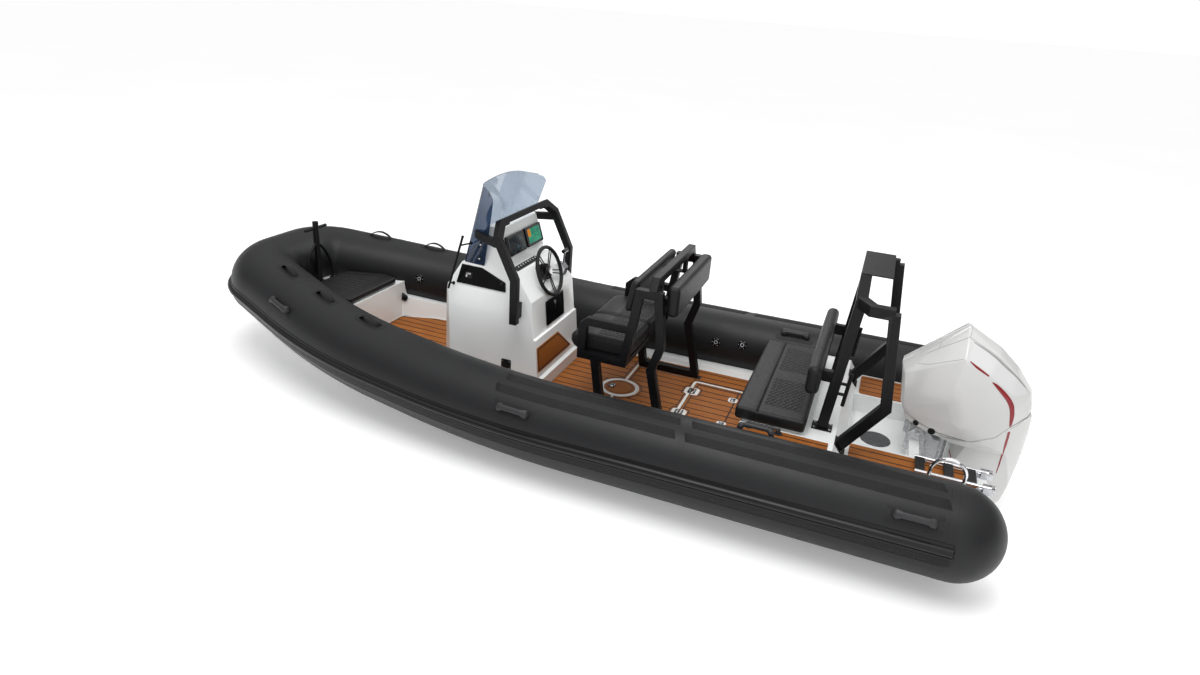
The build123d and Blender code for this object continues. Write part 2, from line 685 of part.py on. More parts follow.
def wheel_plane(offset=0.0):
    """The steering wheel's face, its normal towards the helm seat."""
    rake = math.radians(WHEEL_RAKE)
    out = Vector(-math.cos(rake), 0, math.sin(rake))
    return Plane(origin=Vector(*WHEEL_HUB) + out * offset, x_dir=(0, 1, 0), z_dir=out)


def steering_wheel():
    """Rim, hub and five spokes."""
    section = Plane.XZ * Pos(WHEEL_R, 0) * RegularPolygon(WHEEL_RIM, 10)
    rim = revolve(section, Axis.Z)
    hub = Cylinder(38, 36)
    wheel = rim + hub
    for turn in (90, 162, 234, 306, 18):
        wheel += Rot(0, 0, turn) * Pos((WHEEL_R + 20) / 2, 0, 0) * Box(WHEEL_R - 20, 20, 9)
    wheel += Pos(0, 0, -30) * Cylinder(SHAFT_R, 60)
    return wheel_plane() * wheel


def helm_unit():
    """Steering pump housing behind the wheel, seated in the dash."""
    dash = prism([(3000, 190)] + CONSOLE_SIDE + [(3700, 190)], "y", -200, 200)
    drum = Solid.make_cylinder(60, 170, wheel_plane(-18 - CLEAR - 170))
    bore = Solid.make_cylinder(SHAFT_R + BORE_GAP, 80, wheel_plane(-70))
    return drum - dash - bore


def throttle():
    """Single lever engine control on the dash, to starboard."""
    (xa, za), (xb, zb) = CONSOLE_SIDE[4], CONSOLE_SIDE[5]
    y = -262.0
    slope = (zb - za) / (xb - xa)
    side = [(xa + 25, za + 25 * slope), (xa + 95, za + 95 * slope), (xa + 60, za + 142), (xa + 10, za + 86)]
    base = prism(side, "y", y - 35, y + 35)
    lever = rod((xa + 48, y, za + 90), (xa + 30, y, za + 220), 8)
    knob = rod((xa + 30, y - 34, za + 220), (xa + 30, y + 34, za + 220), 15)
    return base + lever + knob


# ------------------------------------------------------------------ helm seat

# port side frame: rear leg from the floor up, then down to the armrest, (x, z)
SEAT_FOOT_Z = DECK_Z + FLOOR_T
REAR_LEG = [(2000.0, SEAT_FOOT_Z + SEAT_SIDE / 2), (2104.0, 632.0), (2052.0, 806.0), (2098.0, 1150.0)]
FRONT_LEG = [(2432.0, SEAT_FOOT_Z + SEAT_SIDE / 2), (2505.0, 640.0)]
ARMREST = [(2600.0, 640.0), (2600.0, 850.0), (2560.0, 885.0), (2262.0, 885.0), (2300.0, 640.0)]
SEAT_POST = [(2262.0, 885.0), (2226.0, 1150.0)]


def seat_side():
    """Welded side frame of the helm seat, port side."""
    y0, y1 = SEAT_Y - SEAT_SIDE / 2, SEAT_Y + SEAT_SIDE / 2
    half = SEAT_SIDE / 2
    frame = flat_ring(ARMREST, SEAT_SIDE, y0, y1)
    frame += box(REAR_LEG[0][0] - 24, FRONT_LEG[0][0] + half, y0, y1, SEAT_FOOT_Z, SEAT_FOOT_Z + SEAT_SIDE)
    frame += flat_bar(REAR_LEG, SEAT_SIDE, y0, y1)
    frame += flat_bar(FRONT_LEG, SEAT_SIDE, y0, y1)
    frame += flat_bar(SEAT_POST, SEAT_SIDE, y0, y1)
    frame += box(REAR_LEG[-1][0] - half, SEAT_POST[-1][0] + half, y0, y1, 1150 - half, 1150 + half)
    return frame


SEAT_BAR = (2140.0, 1232.0)     # upper cross bar (x, z)
BACKREST_HALF = SEAT_Y - SEAT_SIDE / 2 - 2
BOLSTER_FRONT = 2060.0          # forward face of the after bolster


def seat_frame():
    """Both side frames with the cross tubes that join them."""
    side = seat_side()
    frame = side + mirrored(side)
    inner = SEAT_Y - SEAT_SIDE / 2 + 2
    for x, z in ((2480.0, 622.0), (2300.0, 622.0)):
        frame += box(x - 18, x + 18, -inner, inner, z - 18, z + 5)
    x, z = SEAT_BAR
    run = [(x, SEAT_Y, 1150), (x, SEAT_Y - 48, z), (x, -SEAT_Y + 48, z), (x, -SEAT_Y, 1150)]
    frame += square_pipe(run, SEAT_SIDE, (1, 0, 0))
    for side_sign in (1, -1):
        y = 300.0 * side_sign
        frame += box(BOLSTER_FRONT, 2264.9, y - 30, y + 30, 1085, 1093)
        frame += box(x - 12, x + 12, y - 30, y + 30, 1090, z)
    return frame


def seat_pan():
    """Panel under the helm seat's cushion."""
    half = SEAT_Y - SEAT_SIDE / 2 - 6
    return box(SEAT_BACK + 30, SEAT_FRONT - 40, -half, half, 627, SEAT_PAN_Z)


def seat_cushion():
    """Double helm cushion with a rounded front."""
    half = SEAT_Y - SEAT_SIDE / 2 - 8
    top = SEAT_PAN_Z + SEAT_CUSHION_T
    pad = prism([(SEAT_BACK + 25, SEAT_PAN_Z), (SEAT_FRONT, SEAT_PAN_Z), (SEAT_FRONT + 20, 700),
                 (SEAT_FRONT, top), (SEAT_BACK + 25, top - 10)], "y", -half, half)
    return fillet(pad.edges().filter_by(Axis.Y), 25)


def backrest_front():
    """Backrest of the helm seat."""
    pad = prism([(2285, 985), (2345, 985), (2305, 1200), (2245, 1200)], "y", -BACKREST_HALF, BACKREST_HALF)
    return fillet(pad.edges().filter_by(Axis.Y), 22)


def backrest_rear():
    """Bolster on the after side of the helm seat, for the bench's passengers."""
    x = BOLSTER_FRONT
    pad = prism([(x - 88, 1006), (x, 1006), (x, 1212), (x - 80, 1212)], "y", -BACKREST_HALF, BACKREST_HALF)
    return fillet(pad.edges().filter_by(Axis.Y), 22)


# ------------------------------------------------------------------ stern bench and arch

BENCH_LID = (1072.0, 1452.0, 575.0)   # after edge, forward edge, half width
BENCH_LID_T = 15.0
BENCH_PAD = (1066.0, 1502.0, 600.0)
BENCH_PAD_T = 90.0


def bench_lid():
    """Lid of the stern locker, hinged along its after edge."""
    x0, x1, half = BENCH_LID
    return box(x0, x1, -half, half, BENCH_TOP, BENCH_TOP + BENCH_LID_T)


def stern_cushion():
    """Bench cushion on the stern locker's lid."""
    x0, x1, half = BENCH_PAD
    z0 = BENCH_TOP + BENCH_LID_T
    pad = box(x0, x1, -half, half, z0, z0 + BENCH_PAD_T)
    return fillet(pad.edges(), 22)


def arch_front_x(z):
    """Centre of the front hoop at a height."""
    share = (z - BENCH_TOP) / (ARCH_CORNER - BENCH_TOP)
    return ARCH_FOOT_X + (ARCH_HEAD_X + ARCH_SIDE / 2 - ARCH_FOOT_X) * share


def hoop(outer_y, foot_z, foot_x, corner_x, top_x):
    """A raked square-tube hoop with sloping shoulders."""
    half = ARCH_SIDE / 2
    run = [(foot_x, outer_y, foot_z), (corner_x, outer_y, ARCH_CORNER - half),
           (top_x, ARCH_FLAT, ARCH_TOP - half)]
    run += [flipped(p) for p in reversed(run)]
    return square_pipe(run, ARCH_SIDE, (1, 0, 0))


def arch():
    """Ski arch: front and rear hoops, side ties, struts, cleats and the top plate."""
    half = ARCH_SIDE / 2
    foot = BENCH_TOP + ARCH_FOOT_T
    head = ARCH_HEAD_X + half
    front = hoop(ARCH_FRONT_Y, foot, ARCH_FOOT_X, head, head + 6)
    knee_x, knee_z = ARCH_KNEE
    rear = hoop(ARCH_REAR_Y, knee_z, knee_x, ARCH_REAR_X, ARCH_REAR_X + 66)
    body = front + rear
    level = ARCH_CORNER - half
    for side in (1, -1):
        yf, yr = ARCH_FRONT_Y * side, ARCH_REAR_Y * side
        body += square_pipe([(head, yf, level), (head - 70, yr, level), (ARCH_REAR_X, yr, level)],
                            ARCH_SIDE, (0, 1, 0))
        body += square_pipe([(ARCH_REAR_X, yr, level), (knee_x, yr, knee_z), (866, yr, 440)],
                            ARCH_SIDE, (0, 1, 0))
        body += box(ARCH_FOOT_X - 62, ARCH_FOOT_X + 62, yf - 50, yf + 50, BENCH_TOP, foot)
        low, high = arch_front_x(690.0) - half, arch_front_x(890.0) - half
        body += rod((low - 42, yf, 660), (high - 42, yf, 880), 12)
        for z in (735.0, 805.0):
            x = arch_front_x(z) - half
            body += rod((x - 46, yf, z), (x + 10, yf, z), 10)
        x = arch_front_x(840.0)
        body += box(x, x + half + ROLL_OUT, yf - 20, yf + 20, 805, 875)
    body += box(ARCH_REAR_X + 42, head + 33, -ARCH_FLAT, ARCH_FLAT, ARCH_TOP - 3, ARCH_TOP + 4)
    # the struts' plates lie on the bench's sloping after face
    wall_x = BENCH_AFT - BENCH_SLOPE
    slope = BENCH_SLOPE / (BENCH_TOP - PLATFORM_Z)
    t = ARCH_FOOT_T * math.hypot(1, slope)
    for side in (1, -1):
        y = ARCH_REAR_Y * side
        plate = [(wall_x + 4 * slope - t, PLATFORM_Z + 4), (wall_x + 4 * slope, PLATFORM_Z + 4),
                 (BENCH_AFT - 2 * slope, BENCH_TOP - 2), (BENCH_AFT - 2 * slope - t, BENCH_TOP - 2)]
        body += prism(plate, "y", y - 55, y + 55)
    keep_out = prism([(wall_x, PLATFORM_Z), (BENCH_AFT, BENCH_TOP), (1300, BENCH_TOP), (1300, 100),
                      (wall_x, 100)], "y", -900, 900)
    return body - keep_out


def stern_backrest():
    """Round-ended backrest roll carried by the arch."""
    z0, z1, t = 755.0, 940.0, 84.0
    x0 = arch_front_x(840.0) + ARCH_SIDE / 2 + ROLL_OUT
    pad = box(x0, x0 + t, -577, 577, z0, z1)
    return fillet(pad.edges().filter_by(Axis.Y), 38)


def side_mat():
    """Deck mat on the port ledge beside the bench."""
    z0 = BENCH_TOP
    return box(915, 1430, 612, 690, z0, z0 + MAT_T)


def ledge_handle():
    """Grab handle on the ledge beside the bench."""
    z0 = BENCH_TOP + MAT_T
    y = 648.0
    run = [(1205, y, z0 + 30), (1260, y, z0 + 34), (1350, y, z0 + 34), (1405, y, z0 + 30)]
    bar = rod(run[0], run[-1], 10)
    for x in (1212.0, 1398.0):
        bar += rod((x, y, z0), (x, y, z0 + 30), 12)
        bar += Pos(x, y, z0 + 3) * Cylinder(24, 6)
    return bar


PLATFORM_MAT = (70.0, 790.0, 385.0, 690.0)   # x range and half widths


def platform_mats():
    """Deck mats on both stern platforms."""
    x0, x1, y0, y1 = PLATFORM_MAT
    mat = box(x0, x1, y0, y1, PLATFORM_Z, PLATFORM_Z + MAT_T)
    return both(fillet(mat.edges().filter_by(Axis.Z), 20))


LADDER_HINGE = (-12.0, 432.0)        # (x, z)
LADDER_Y = (400.0, 575.0)           # rails
LADDER_LEN = 425.0
LADDER_R = 13.0
LADDER_PIN_R = 6.0


def boarding_ladder():
    """Folding ladder on the port platform: two rails and three treads."""
    hx, hz = LADDER_HINGE
    ya, yb = LADDER_Y
    ladder = None
    for y in LADDER_Y:
        rail = rod((hx + 4, y, hz), (hx + LADDER_LEN, y, hz), LADDER_R)
        ladder = rail if ladder is None else ladder + rail
    for x in (hx + 110, hx + 235, hx + LADDER_LEN - 30):
        ladder += box(x - 26, x + 26, ya, yb, hz - 9, hz + 9)
    for y in LADDER_Y:
        ladder += rod((hx, y - 14, hz), (hx, y + 14, hz), 15)
    return ladder - rod((hx, ya - 40, hz), (hx, yb + 40, hz), LADDER_PIN_R + BORE_GAP)


def ladder_hinge():
    """Hinge brackets on the platform's after edge, and the two rests under the rails."""
    hx, hz = LADDER_HINGE
    result = []
    for y in LADDER_Y:
        inner, outer = 14 + CLEAR, 14 + CLEAR + 8
        lug = box(2, 62, y - outer, y + outer, PLATFORM_Z, PLATFORM_Z + 5)
        for side in (1, -1):
            a, b = sorted((y + inner * side, y + outer * side))
            lug += box(hx - 12, 40, a, b, PLATFORM_Z + 5, hz + 12)
        lug += rod((hx, y - outer - 2, hz), (hx, y + outer + 2, hz), LADDER_PIN_R)
        result += lug.solids()
        z0 = PLATFORM_Z + MAT_T
        result += box(hx + LADDER_LEN - 75, hx + LADDER_LEN - 62, y - 16, y + 16, z0, hz - LADDER_R - SEAT_GAP).solids()
    return Compound(children=result)


HOOP_RUNS = 14


def grab_hoop():
    """Chrome boarding hoop outboard of the ladder."""
    y = 628.0
    z0 = PLATFORM_Z + MAT_T
    bend = Edge.make_three_point_arc((150, y, z0 + 85), (245, y, z0 + 180), (340, y, z0 + 85))
    run = [tuple(bend @ (i / HOOP_RUNS)) for i in range(HOOP_RUNS + 1)]
    path = Polyline([(150, y, z0)] + run + [(340, y, z0)])
    start = Plane(origin=path @ 0, x_dir=(0, 1, 0), z_dir=path % 0)
    return sweep(start * RegularPolygon(11.5, 8), path=path, transition=Transition.RIGHT)


# ------------------------------------------------------------------ tube fittings

def skin_plane(x, angle):
    """Plane on the port tube's skin, its normal outward; the angle is in degrees up from outboard."""
    centre, run = path_at(x)
    up = (Vector(0, 0, 1) - run * run.Z).normalized()
    a = math.radians(angle)
    normal = up.cross(run) * math.cos(a) + up * math.sin(a)
    return Plane(origin=centre + normal * TUBE_R, x_dir=run, z_dir=normal)


def carry_handle(x, angle):
    """Moulded carrying handle bonded on a tube's shoulder."""
    plane = skin_plane(x, angle)
    handle = plane * Box(225, 64, 12)
    handle += plane * Pos(0, 0, 31) * Rot(0, 90, 0) * Cylinder(13, 190)
    for along in (88, -88):
        handle += plane * Pos(along, 0, 20) * Box(34, 38, 34)
    return handle


def strap_handle(x, angle):
    """Webbing grab handle: a loop on a bonded patch."""
    plane = skin_plane(x, angle)
    arc = ThreePointArc((-75, 3), (0, 48), (75, 3))
    patch = plane * Box(200, 50, 8)
    inner = ThreePointArc((-72, 3), (0, 43), (72, 3))
    band = make_face([*arc.edges(), Edge.make_line(arc @ 1, inner @ 1), *inner.edges(),
                      Edge.make_line(inner @ 0, arc @ 0)])
    return patch + plane * Pos(0, 16, 0) * Rot(90, 0, 0) * extrude(band, amount=32)


CARRY_PLACES = [(420.0, 36.0), (1330.0, 124.0), (2745.0, 36.0), (4770.0, 36.0)]   # station, degrees up from outboard
STRAP_PLACES = [(4080.0, 90.0), (4560.0, 90.0), (5020.0, 90.0)]


def handles(make, places, tubes):
    """The same handles on both tubes."""
    result = []
    for x, angle in places:
        handle = make(x, angle)
        for tube in tubes:
            handle = handle - tube
        result += [handle.solids().sort_by(SortBy.VOLUME)[-1]]
    result += [mirrored(s) for s in list(result)]
    return Compound(children=result)


EYE_Z = 215.0
EYE_BORE = 15.0


def bow_eye(hull_solid):
    """Towing eye through the stem."""
    plate = Pos(5455, 0, EYE_Z) * Box(110, 12, 62)
    plate = fillet(plate.edges().filter_by(Axis.Y), 24)
    plate = plate - Pos(5484, 0, EYE_Z) * Rot(90, 0, 0) * Cylinder(EYE_BORE, 60)
    return plate - hull_solid


# ------------------------------------------------------------------ engine

BRACKET_Y = (100.0, 130.0)     # each clamp plate, inner and outer face
SWIVEL_HALF = BRACKET_Y[0] - CLEAR


def engine_bracket():
    """Clamp bracket over the transom, with the tilt tube."""
    tx, tz = TILT_AXIS
    front, aft, top = TRANSOM_X + TRANSOM_T, TRANSOM_X, TRANSOM_TOP
    plate = [(aft, top), (aft, 70), (aft - 34, 70), (aft - 44, 300), (aft - 30, top + 30), (tx - 22, tz + 30),
             (tx + 22, tz + 30), (front + 28, top + 30), (front + 28, top - 75), (front, top - 75), (front, top)]
    y0, y1 = BRACKET_Y
    side = fillet(prism(plate, "y", y0, y1).edges().filter_by(Axis.Y).sort_by(Axis.Z)[-2:], 14)
    body = side + mirrored(side)
    body += rod((tx, -y1 - 22, tz), (tx, y1 + 22, tz), 13)
    body += rod((aft - 22, -y0 - 4, 95), (aft - 22, y0 + 4, 95), 14)
    return body


STEER_TUBE_R = 34.0
STEER_LOW = 110.0
STEER_HIGH = 415.0


def engine_swivel():
    """Swivel bracket: hangs on the tilt tube and carries the steering tube."""
    tx, tz = TILT_AXIS
    web = [(tx + 24, tz - 10), (tx + 10, tz + 24), (tx - 60, tz + 18), (STEER_X + 58, STEER_HIGH), (STEER_X + 20, STEER_HIGH),
           (STEER_X + 20, STEER_LOW + 20), (STEER_X + 70, STEER_LOW + 20), (tx - 62, 330), (tx - 60, 402),
           (tx - 10, tz - 24)]
    body = prism(web, "y", -SWIVEL_HALF, SWIVEL_HALF)
    body = body - prism([(tx - 90, 0), (tx + 60, 0), (tx + 60, 700), (tx - 90, 700)], "y", -SWIVEL_HALF + 32,
                        SWIVEL_HALF - 32)
    body += rod((STEER_X, 0, STEER_LOW), (STEER_X, 0, STEER_HIGH), STEER_TUBE_R)
    body = body - rod((tx, -200, tz), (tx, 200, tz), 13.05)
    return body - rod((STEER_X, 0, STEER_LOW - 1), (STEER_X, 0, STEER_HIGH + 1), 14.05)


# seam between the two covers, (x, z) from the stern forward
COWL_SEAM = [(-192.0, 722.0), (-170.0, 715.0), (-73.0, 650.0), (-16.0, 574.0), (111.0, 516.0), (300.0, 527.0),
             (411.0, 560.0), (515.0, 600.0)]
SEAM_HALF = [0.0, 110.0, 190.0, 205.0, 220.0, 220.0, 210.0, 172.0]   # half width of the cover at each

# corners of the upper cover's port half: x, y, z
COWL_POINTS = {
    "peak": (257.0, 0.0, 1188.0), "peak_side": (262.0, 64.0, 1180.0), "shoulder": (257.0, 202.0, 1030.0),
    "brow": (585.0, 0.0, 869.0), "brow_side": (580.0, 92.0, 864.0), "brow_corner": (564.0, 150.0, 850.0),
    "chin": (548.0, 0.0, 640.0), "chin_side": (545.0, 110.0, 641.0), "chin_corner": (528.0, 186.0, 646.0),
    "flank": (290.0, 228.0, 740.0), "flank_low": (240.0, 229.0, 620.0), "back_high": (57.0, 0.0, 1084.0),
    "back_mid": (-67.0, 0.0, 978.0), "back_high_side": (66.0, 92.0, 1062.0), "back_mid_side": (-52.0, 88.0, 962.0),
    "hip_high": (114.0, 198.0, 952.0), "hip": (-36.0, 184.0, 834.0), "tail": (-172.0, 0.0, 846.0),
    "tail_side": (-150.0, 84.0, 842.0), "heel": (-86.0, 186.0, 742.0), "heel_back": (-178.0, 98.0, 770.0),
    "heel_tail": (-192.0, 0.0, 776.0),
}
COWL_FACES = [
    ("peak", "peak_side", "brow_side", "brow"), ("peak_side", "shoulder", "brow_corner", "brow_side"),
    ("brow", "brow_side", "chin_side", "chin"), ("brow_side", "brow_corner", "chin_corner", "chin_side"),
    ("chin", "chin_side", "seam7"), ("chin_side", "chin_corner", "seam7"),
    ("brow_corner", "shoulder", "flank"), ("brow_corner", "flank", "chin_corner"),
    ("chin_corner", "flank", "flank_low"), ("chin_corner", "flank_low", "seam6"), ("chin_corner", "seam6", "seam7"),
    ("flank_low", "seam5", "seam6"), ("flank_low", "seam4", "seam5"),
    ("shoulder", "hip_high", "flank"), ("hip_high", "hip", "flank"), ("hip", "heel", "flank"),
    ("flank", "heel", "flank_low"), ("heel", "seam3", "flank_low"), ("flank_low", "seam3", "seam4"),
    ("heel", "seam2", "seam3"),
    ("peak", "back_high", "back_high_side", "peak_side"), ("back_high", "back_mid", "back_mid_side", "back_high_side"),
    ("back_mid", "tail", "tail_side", "back_mid_side"), ("peak_side", "back_high_side", "hip_high", "shoulder"),
    ("back_high_side", "back_mid_side", "hip", "hip_high"), ("back_mid_side", "tail_side", "hip"),
    ("tail", "heel_tail", "heel_back", "tail_side"), ("tail_side", "heel_back", "heel", "hip"),
    ("heel_tail", "seam0", "seam1", "heel_back"), ("heel_back", "seam1", "seam2", "heel"),
]


def cowl_points():
    """Every named corner of the port half, the seam's included."""
    points = dict(COWL_POINTS)
    for i, ((x, z), half) in enumerate(zip(COWL_SEAM, SEAM_HALF)):
        points[f"seam{i}"] = (x, half, z)
    return points


def engine_cowl():
    """Faceted upper engine cover."""
    points = cowl_points()
    faces = []
    for names in COWL_FACES:
        ring = [points[n] for n in names]
        for side in (1, -1):
            half = [(x, side * y, z) for x, y, z in ring]
            for i in range(1, len(half) - 1):
                tri = [half[0], half[i], half[i + 1]]
                if len({tuple(p) for p in tri}) == 3:
                    faces.append(Face(Wire.make_polygon([Vector(*p) for p in tri], close=True)))
    # the chin's triangles at the centre meet the seam's forward edge
    x, y, z = points["seam7"]
    chin = points["chin"]
    faces.append(Face(Wire.make_polygon([Vector(*chin), Vector(x, y, z), Vector(x, -y, z)], close=True)))
    for i in range(len(COWL_SEAM) - 1):
        (xa, ya, za), (xb, yb, zb) = points[f"seam{i}"], points[f"seam{i + 1}"]
        ring = [(xa, ya, za), (xb, yb, zb), (xb, -yb, zb)] + ([(xa, -ya, za)] if ya else [])
        faces.append(Face(Wire.make_polygon([Vector(*p) for p in ring], close=True)))
    return Solid(Shell(faces))


# side outline of the lower cover and midsection below the seam, (x, z)
PAN_SIDE = [(500.0, 560.0), (312.0, 503.0), (200.0, 455.0), (190.0, 440.0), (190.0, 90.0), (150.0, 60.0),
            (-136.0, 48.0), (-168.0, 98.0), (-211.0, 434.0), (-208.0, 600.0)]
PAN_PLAN = [(-215.0, 55.0), (-185.0, 104.0), (-73.0, 188.0), (0.0, 207.0), (111.0, 219.0), (300.0, 219.0),
            (411.0, 209.0), (520.0, 168.0)]
PAN_FRONT = [(88.0, 40.0), (118.0, 290.0), (160.0, 450.0), (219.0, 520.0), (219.0, 760.0)]
YOKE_PLAN = [(-220.0, 88.0), (-120.0, 160.0), (120.0, 160.0), (190.0, 80.0)]
LEG_SIDE = [(150.0, 70.0), (150.0, PLATE_Z + 10), (-70.0, PLATE_Z + 10), (-100.0, 70.0)]
LEG_HALF = 62.0


def two_sided(half):
    """Outline with its starboard half added."""
    return half + [(-y, z) for y, z in reversed(half)]


def engine_body():
    """Lower cover, midsection, steering yokes and gearcase."""
    sx = STEER_X
    pan = prism(COWL_SEAM[::-1] + PAN_SIDE[::-1], "y", -300, 300)
    pan = pan & prism(PAN_PLAN + [(x, -y) for x, y in reversed(PAN_PLAN)], "z", 0, 900)
    pan = pan & prism(two_sided(PAN_FRONT), "x", -300, 700)
    low = prism(YOKE_PLAN + [(x, -y) for x, y in reversed(YOKE_PLAN)], "z", 0, 450)
    body = (pan & low) + (pan - box(-300, 700, -300, 300, 0, 450)) + prism(LEG_SIDE, "y", -LEG_HALF, LEG_HALF)
    top, bottom = STEER_HIGH + CLEAR, STEER_LOW - CLEAR
    body += box(120, sx + 30, -45, 45, top, top + 45) + Pos(sx, 0, top + 22.5) * Cylinder(45, 45)
    body += box(120, sx, -42, 42, bottom - 40, bottom) + Pos(sx, 0, bottom - 20) * Cylinder(42, 40)
    body += rod((sx, 0, bottom - 20), (sx, 0, top + 20), 14)
    # gearcase: plate, strut, torpedo and skeg
    plate = prism([(-185.0, 60.0), (-120.0, 110.0), (120.0, 95.0), (240.0, 30.0), (240.0, -30.0), (120.0, -95.0),
                   (-120.0, -110.0), (-185.0, -60.0)], "z", PLATE_Z, PLATE_Z + 10)
    strut = prism([(36.0, 14.0), (80.0, 40.0), (150.0, 34.0), (205.0, 4.0), (205.0, -4.0), (150.0, -34.0),
                   (80.0, -40.0), (36.0, -14.0)], "z", PROP_AXIS_Z, PLATE_Z)
    nose = Pos(215, 0, PROP_AXIS_Z) * Sphere(55)
    torpedo = rod((PROP_X + 52 + CLEAR, 0, PROP_AXIS_Z), (215, 0, PROP_AXIS_Z), 55) + nose
    skeg = prism([(45.0, PROP_AXIS_Z), (190.0, PROP_AXIS_Z), (120.0, -600.0), (50.0, -615.0)], "y", -7, 7)
    shaft = rod((PROP_X - 58, 0, PROP_AXIS_Z), (PROP_X + 70, 0, PROP_AXIS_Z), SHAFT_R)
    return body + plate + strut + torpedo + skeg + shaft


def propeller():
    """Three-bladed propeller on its shaft."""
    hub = rod((PROP_X - 50, 0, PROP_AXIS_Z), (PROP_X + 52, 0, PROP_AXIS_Z), 48)
    wheel = hub
    for turn in (0, 120, 240):
        blade = Pos(0, 0, (PROP_R + 40) / 2) * Box(8, 120, PROP_R - 40)
        blade = fillet(blade.edges().filter_by(Axis.X).sort_by(Axis.Z)[-2:], 50)
        blade = Rot(0, 0, 32) * blade
        wheel += Pos(PROP_X, 0, PROP_AXIS_Z) * Rot(turn, 0, 0) * blade
    return wheel - rod((PROP_X - 80, 0, PROP_AXIS_Z), (PROP_X + 80, 0, PROP_AXIS_Z), SHAFT_R + BORE_GAP)


# ------------------------------------------------------------------ assembly

def build():
    """All pieces by node name."""
    tube_port = side_tube()
    tube_bow = bow_tube()
    tube_starboard = mirrored(tube_port)
    tubes = [tube_port, tube_bow, tube_starboard]
    side_pair = [tube_port, tube_starboard]
    hull_solid = hull(tubes)
    strake_port = side_strake()
    return {
        "tube_port": tube_port,
        "tube_bow": tube_bow,
        "tube_starboard": tube_starboard,
        "strake_port": strake_port,
        "strake_bow": bow_strake(),
        "strake_starboard": mirrored(strake_port),
        "hull": hull_solid,
        "deck_liner": deck_liner(side_pair, HATCH),
        "stern_moulding": stern_moulding(side_pair),
        "foredeck": foredeck(tubes),
        "bow_lid": bow_lid(),
        "bow_cushion": bow_cushion(),
        "bow_post": bow_post(),
        "bow_eye": bow_eye(hull_solid),
        "floor_hatch": floor_hatch(),
        "floor_mat": floor_mat(),
        "round_hatch": round_hatch(),
        "console": console(),
        "glovebox_door": glovebox_door(),
        "side_hatch": side_hatch(),
        "windscreen": windscreen(),
        "grab_rail": grab_rail(),
        "display_port": display(1),
        "display_starboard": display(-1),
        "switch_panel": switch_panel(),
        "steering_wheel": steering_wheel(),
        "helm_unit": helm_unit(),
        "throttle": throttle(),
        "seat_frame": seat_frame(),
        "seat_pan": seat_pan(),
        "seat_cushion": seat_cushion(),
        "backrest_front": backrest_front(),
        "backrest_rear": backrest_rear(),
        "bench_lid": bench_lid(),
        "stern_cushion": stern_cushion(),
        "stern_backrest": stern_backrest(),
        "arch": arch(),
        "side_mat": side_mat(),
        "ledge_handle": ledge_handle(),
        "platform_mats": platform_mats(),
        "boarding_ladder": boarding_ladder(),
        "ladder_hinge": ladder_hinge(),
        "grab_hoop": grab_hoop(),
        "carry_handles": handles(carry_handle, CARRY_PLACES, tubes),
        "strap_handles": handles(strap_handle, STRAP_PLACES, tubes),
        "engine_bracket": engine_bracket(),
        "engine_swivel": engine_swivel(),
        "engine_body": engine_body(),
        "engine_cowl": engine_cowl(),
        "propeller": propeller(),
    }


os.makedirs("parts", exist_ok=True)
for name, shape in build().items():
    export_step(shape, f"parts/{name}.step")
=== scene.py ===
"""Visual model of a rigid inflatable boat with an outboard engine.

Lengths are in mm and turn into metres, times MM, where a mesh is made. Materials work in metres.
"""
import json
import math

import bmesh
import bpy
import numpy as np
from mathutils import Matrix, Vector
from mathutils.bvhtree import BVHTree

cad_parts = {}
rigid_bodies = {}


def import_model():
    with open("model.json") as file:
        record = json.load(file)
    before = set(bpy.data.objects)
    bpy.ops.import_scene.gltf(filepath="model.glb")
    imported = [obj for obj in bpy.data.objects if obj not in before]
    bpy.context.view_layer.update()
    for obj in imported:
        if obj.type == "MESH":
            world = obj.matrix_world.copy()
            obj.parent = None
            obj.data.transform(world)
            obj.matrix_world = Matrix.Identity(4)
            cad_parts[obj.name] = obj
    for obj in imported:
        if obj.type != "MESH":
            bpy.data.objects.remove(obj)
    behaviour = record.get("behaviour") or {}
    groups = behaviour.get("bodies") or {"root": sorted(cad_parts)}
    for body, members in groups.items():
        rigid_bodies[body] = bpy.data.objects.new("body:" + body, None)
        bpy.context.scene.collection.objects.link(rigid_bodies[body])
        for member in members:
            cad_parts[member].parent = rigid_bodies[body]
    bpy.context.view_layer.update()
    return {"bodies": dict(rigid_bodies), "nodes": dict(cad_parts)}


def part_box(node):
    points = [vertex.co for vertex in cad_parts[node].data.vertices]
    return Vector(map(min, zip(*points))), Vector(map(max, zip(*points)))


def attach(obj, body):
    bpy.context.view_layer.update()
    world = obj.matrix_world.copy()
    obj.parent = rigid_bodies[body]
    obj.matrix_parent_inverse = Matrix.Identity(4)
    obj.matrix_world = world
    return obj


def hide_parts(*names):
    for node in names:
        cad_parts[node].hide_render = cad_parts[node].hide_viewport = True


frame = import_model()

MM = 0.001
SIDES = (1, -1)                       # port, starboard
AHEAD, ACROSS, UPWARD = (1, 0, 0), (0, 1, 0), (0, 0, 1)
NODES, BODIES = frame["nodes"], frame["bodies"]


# ------------------------------------------------------------------ shader helpers

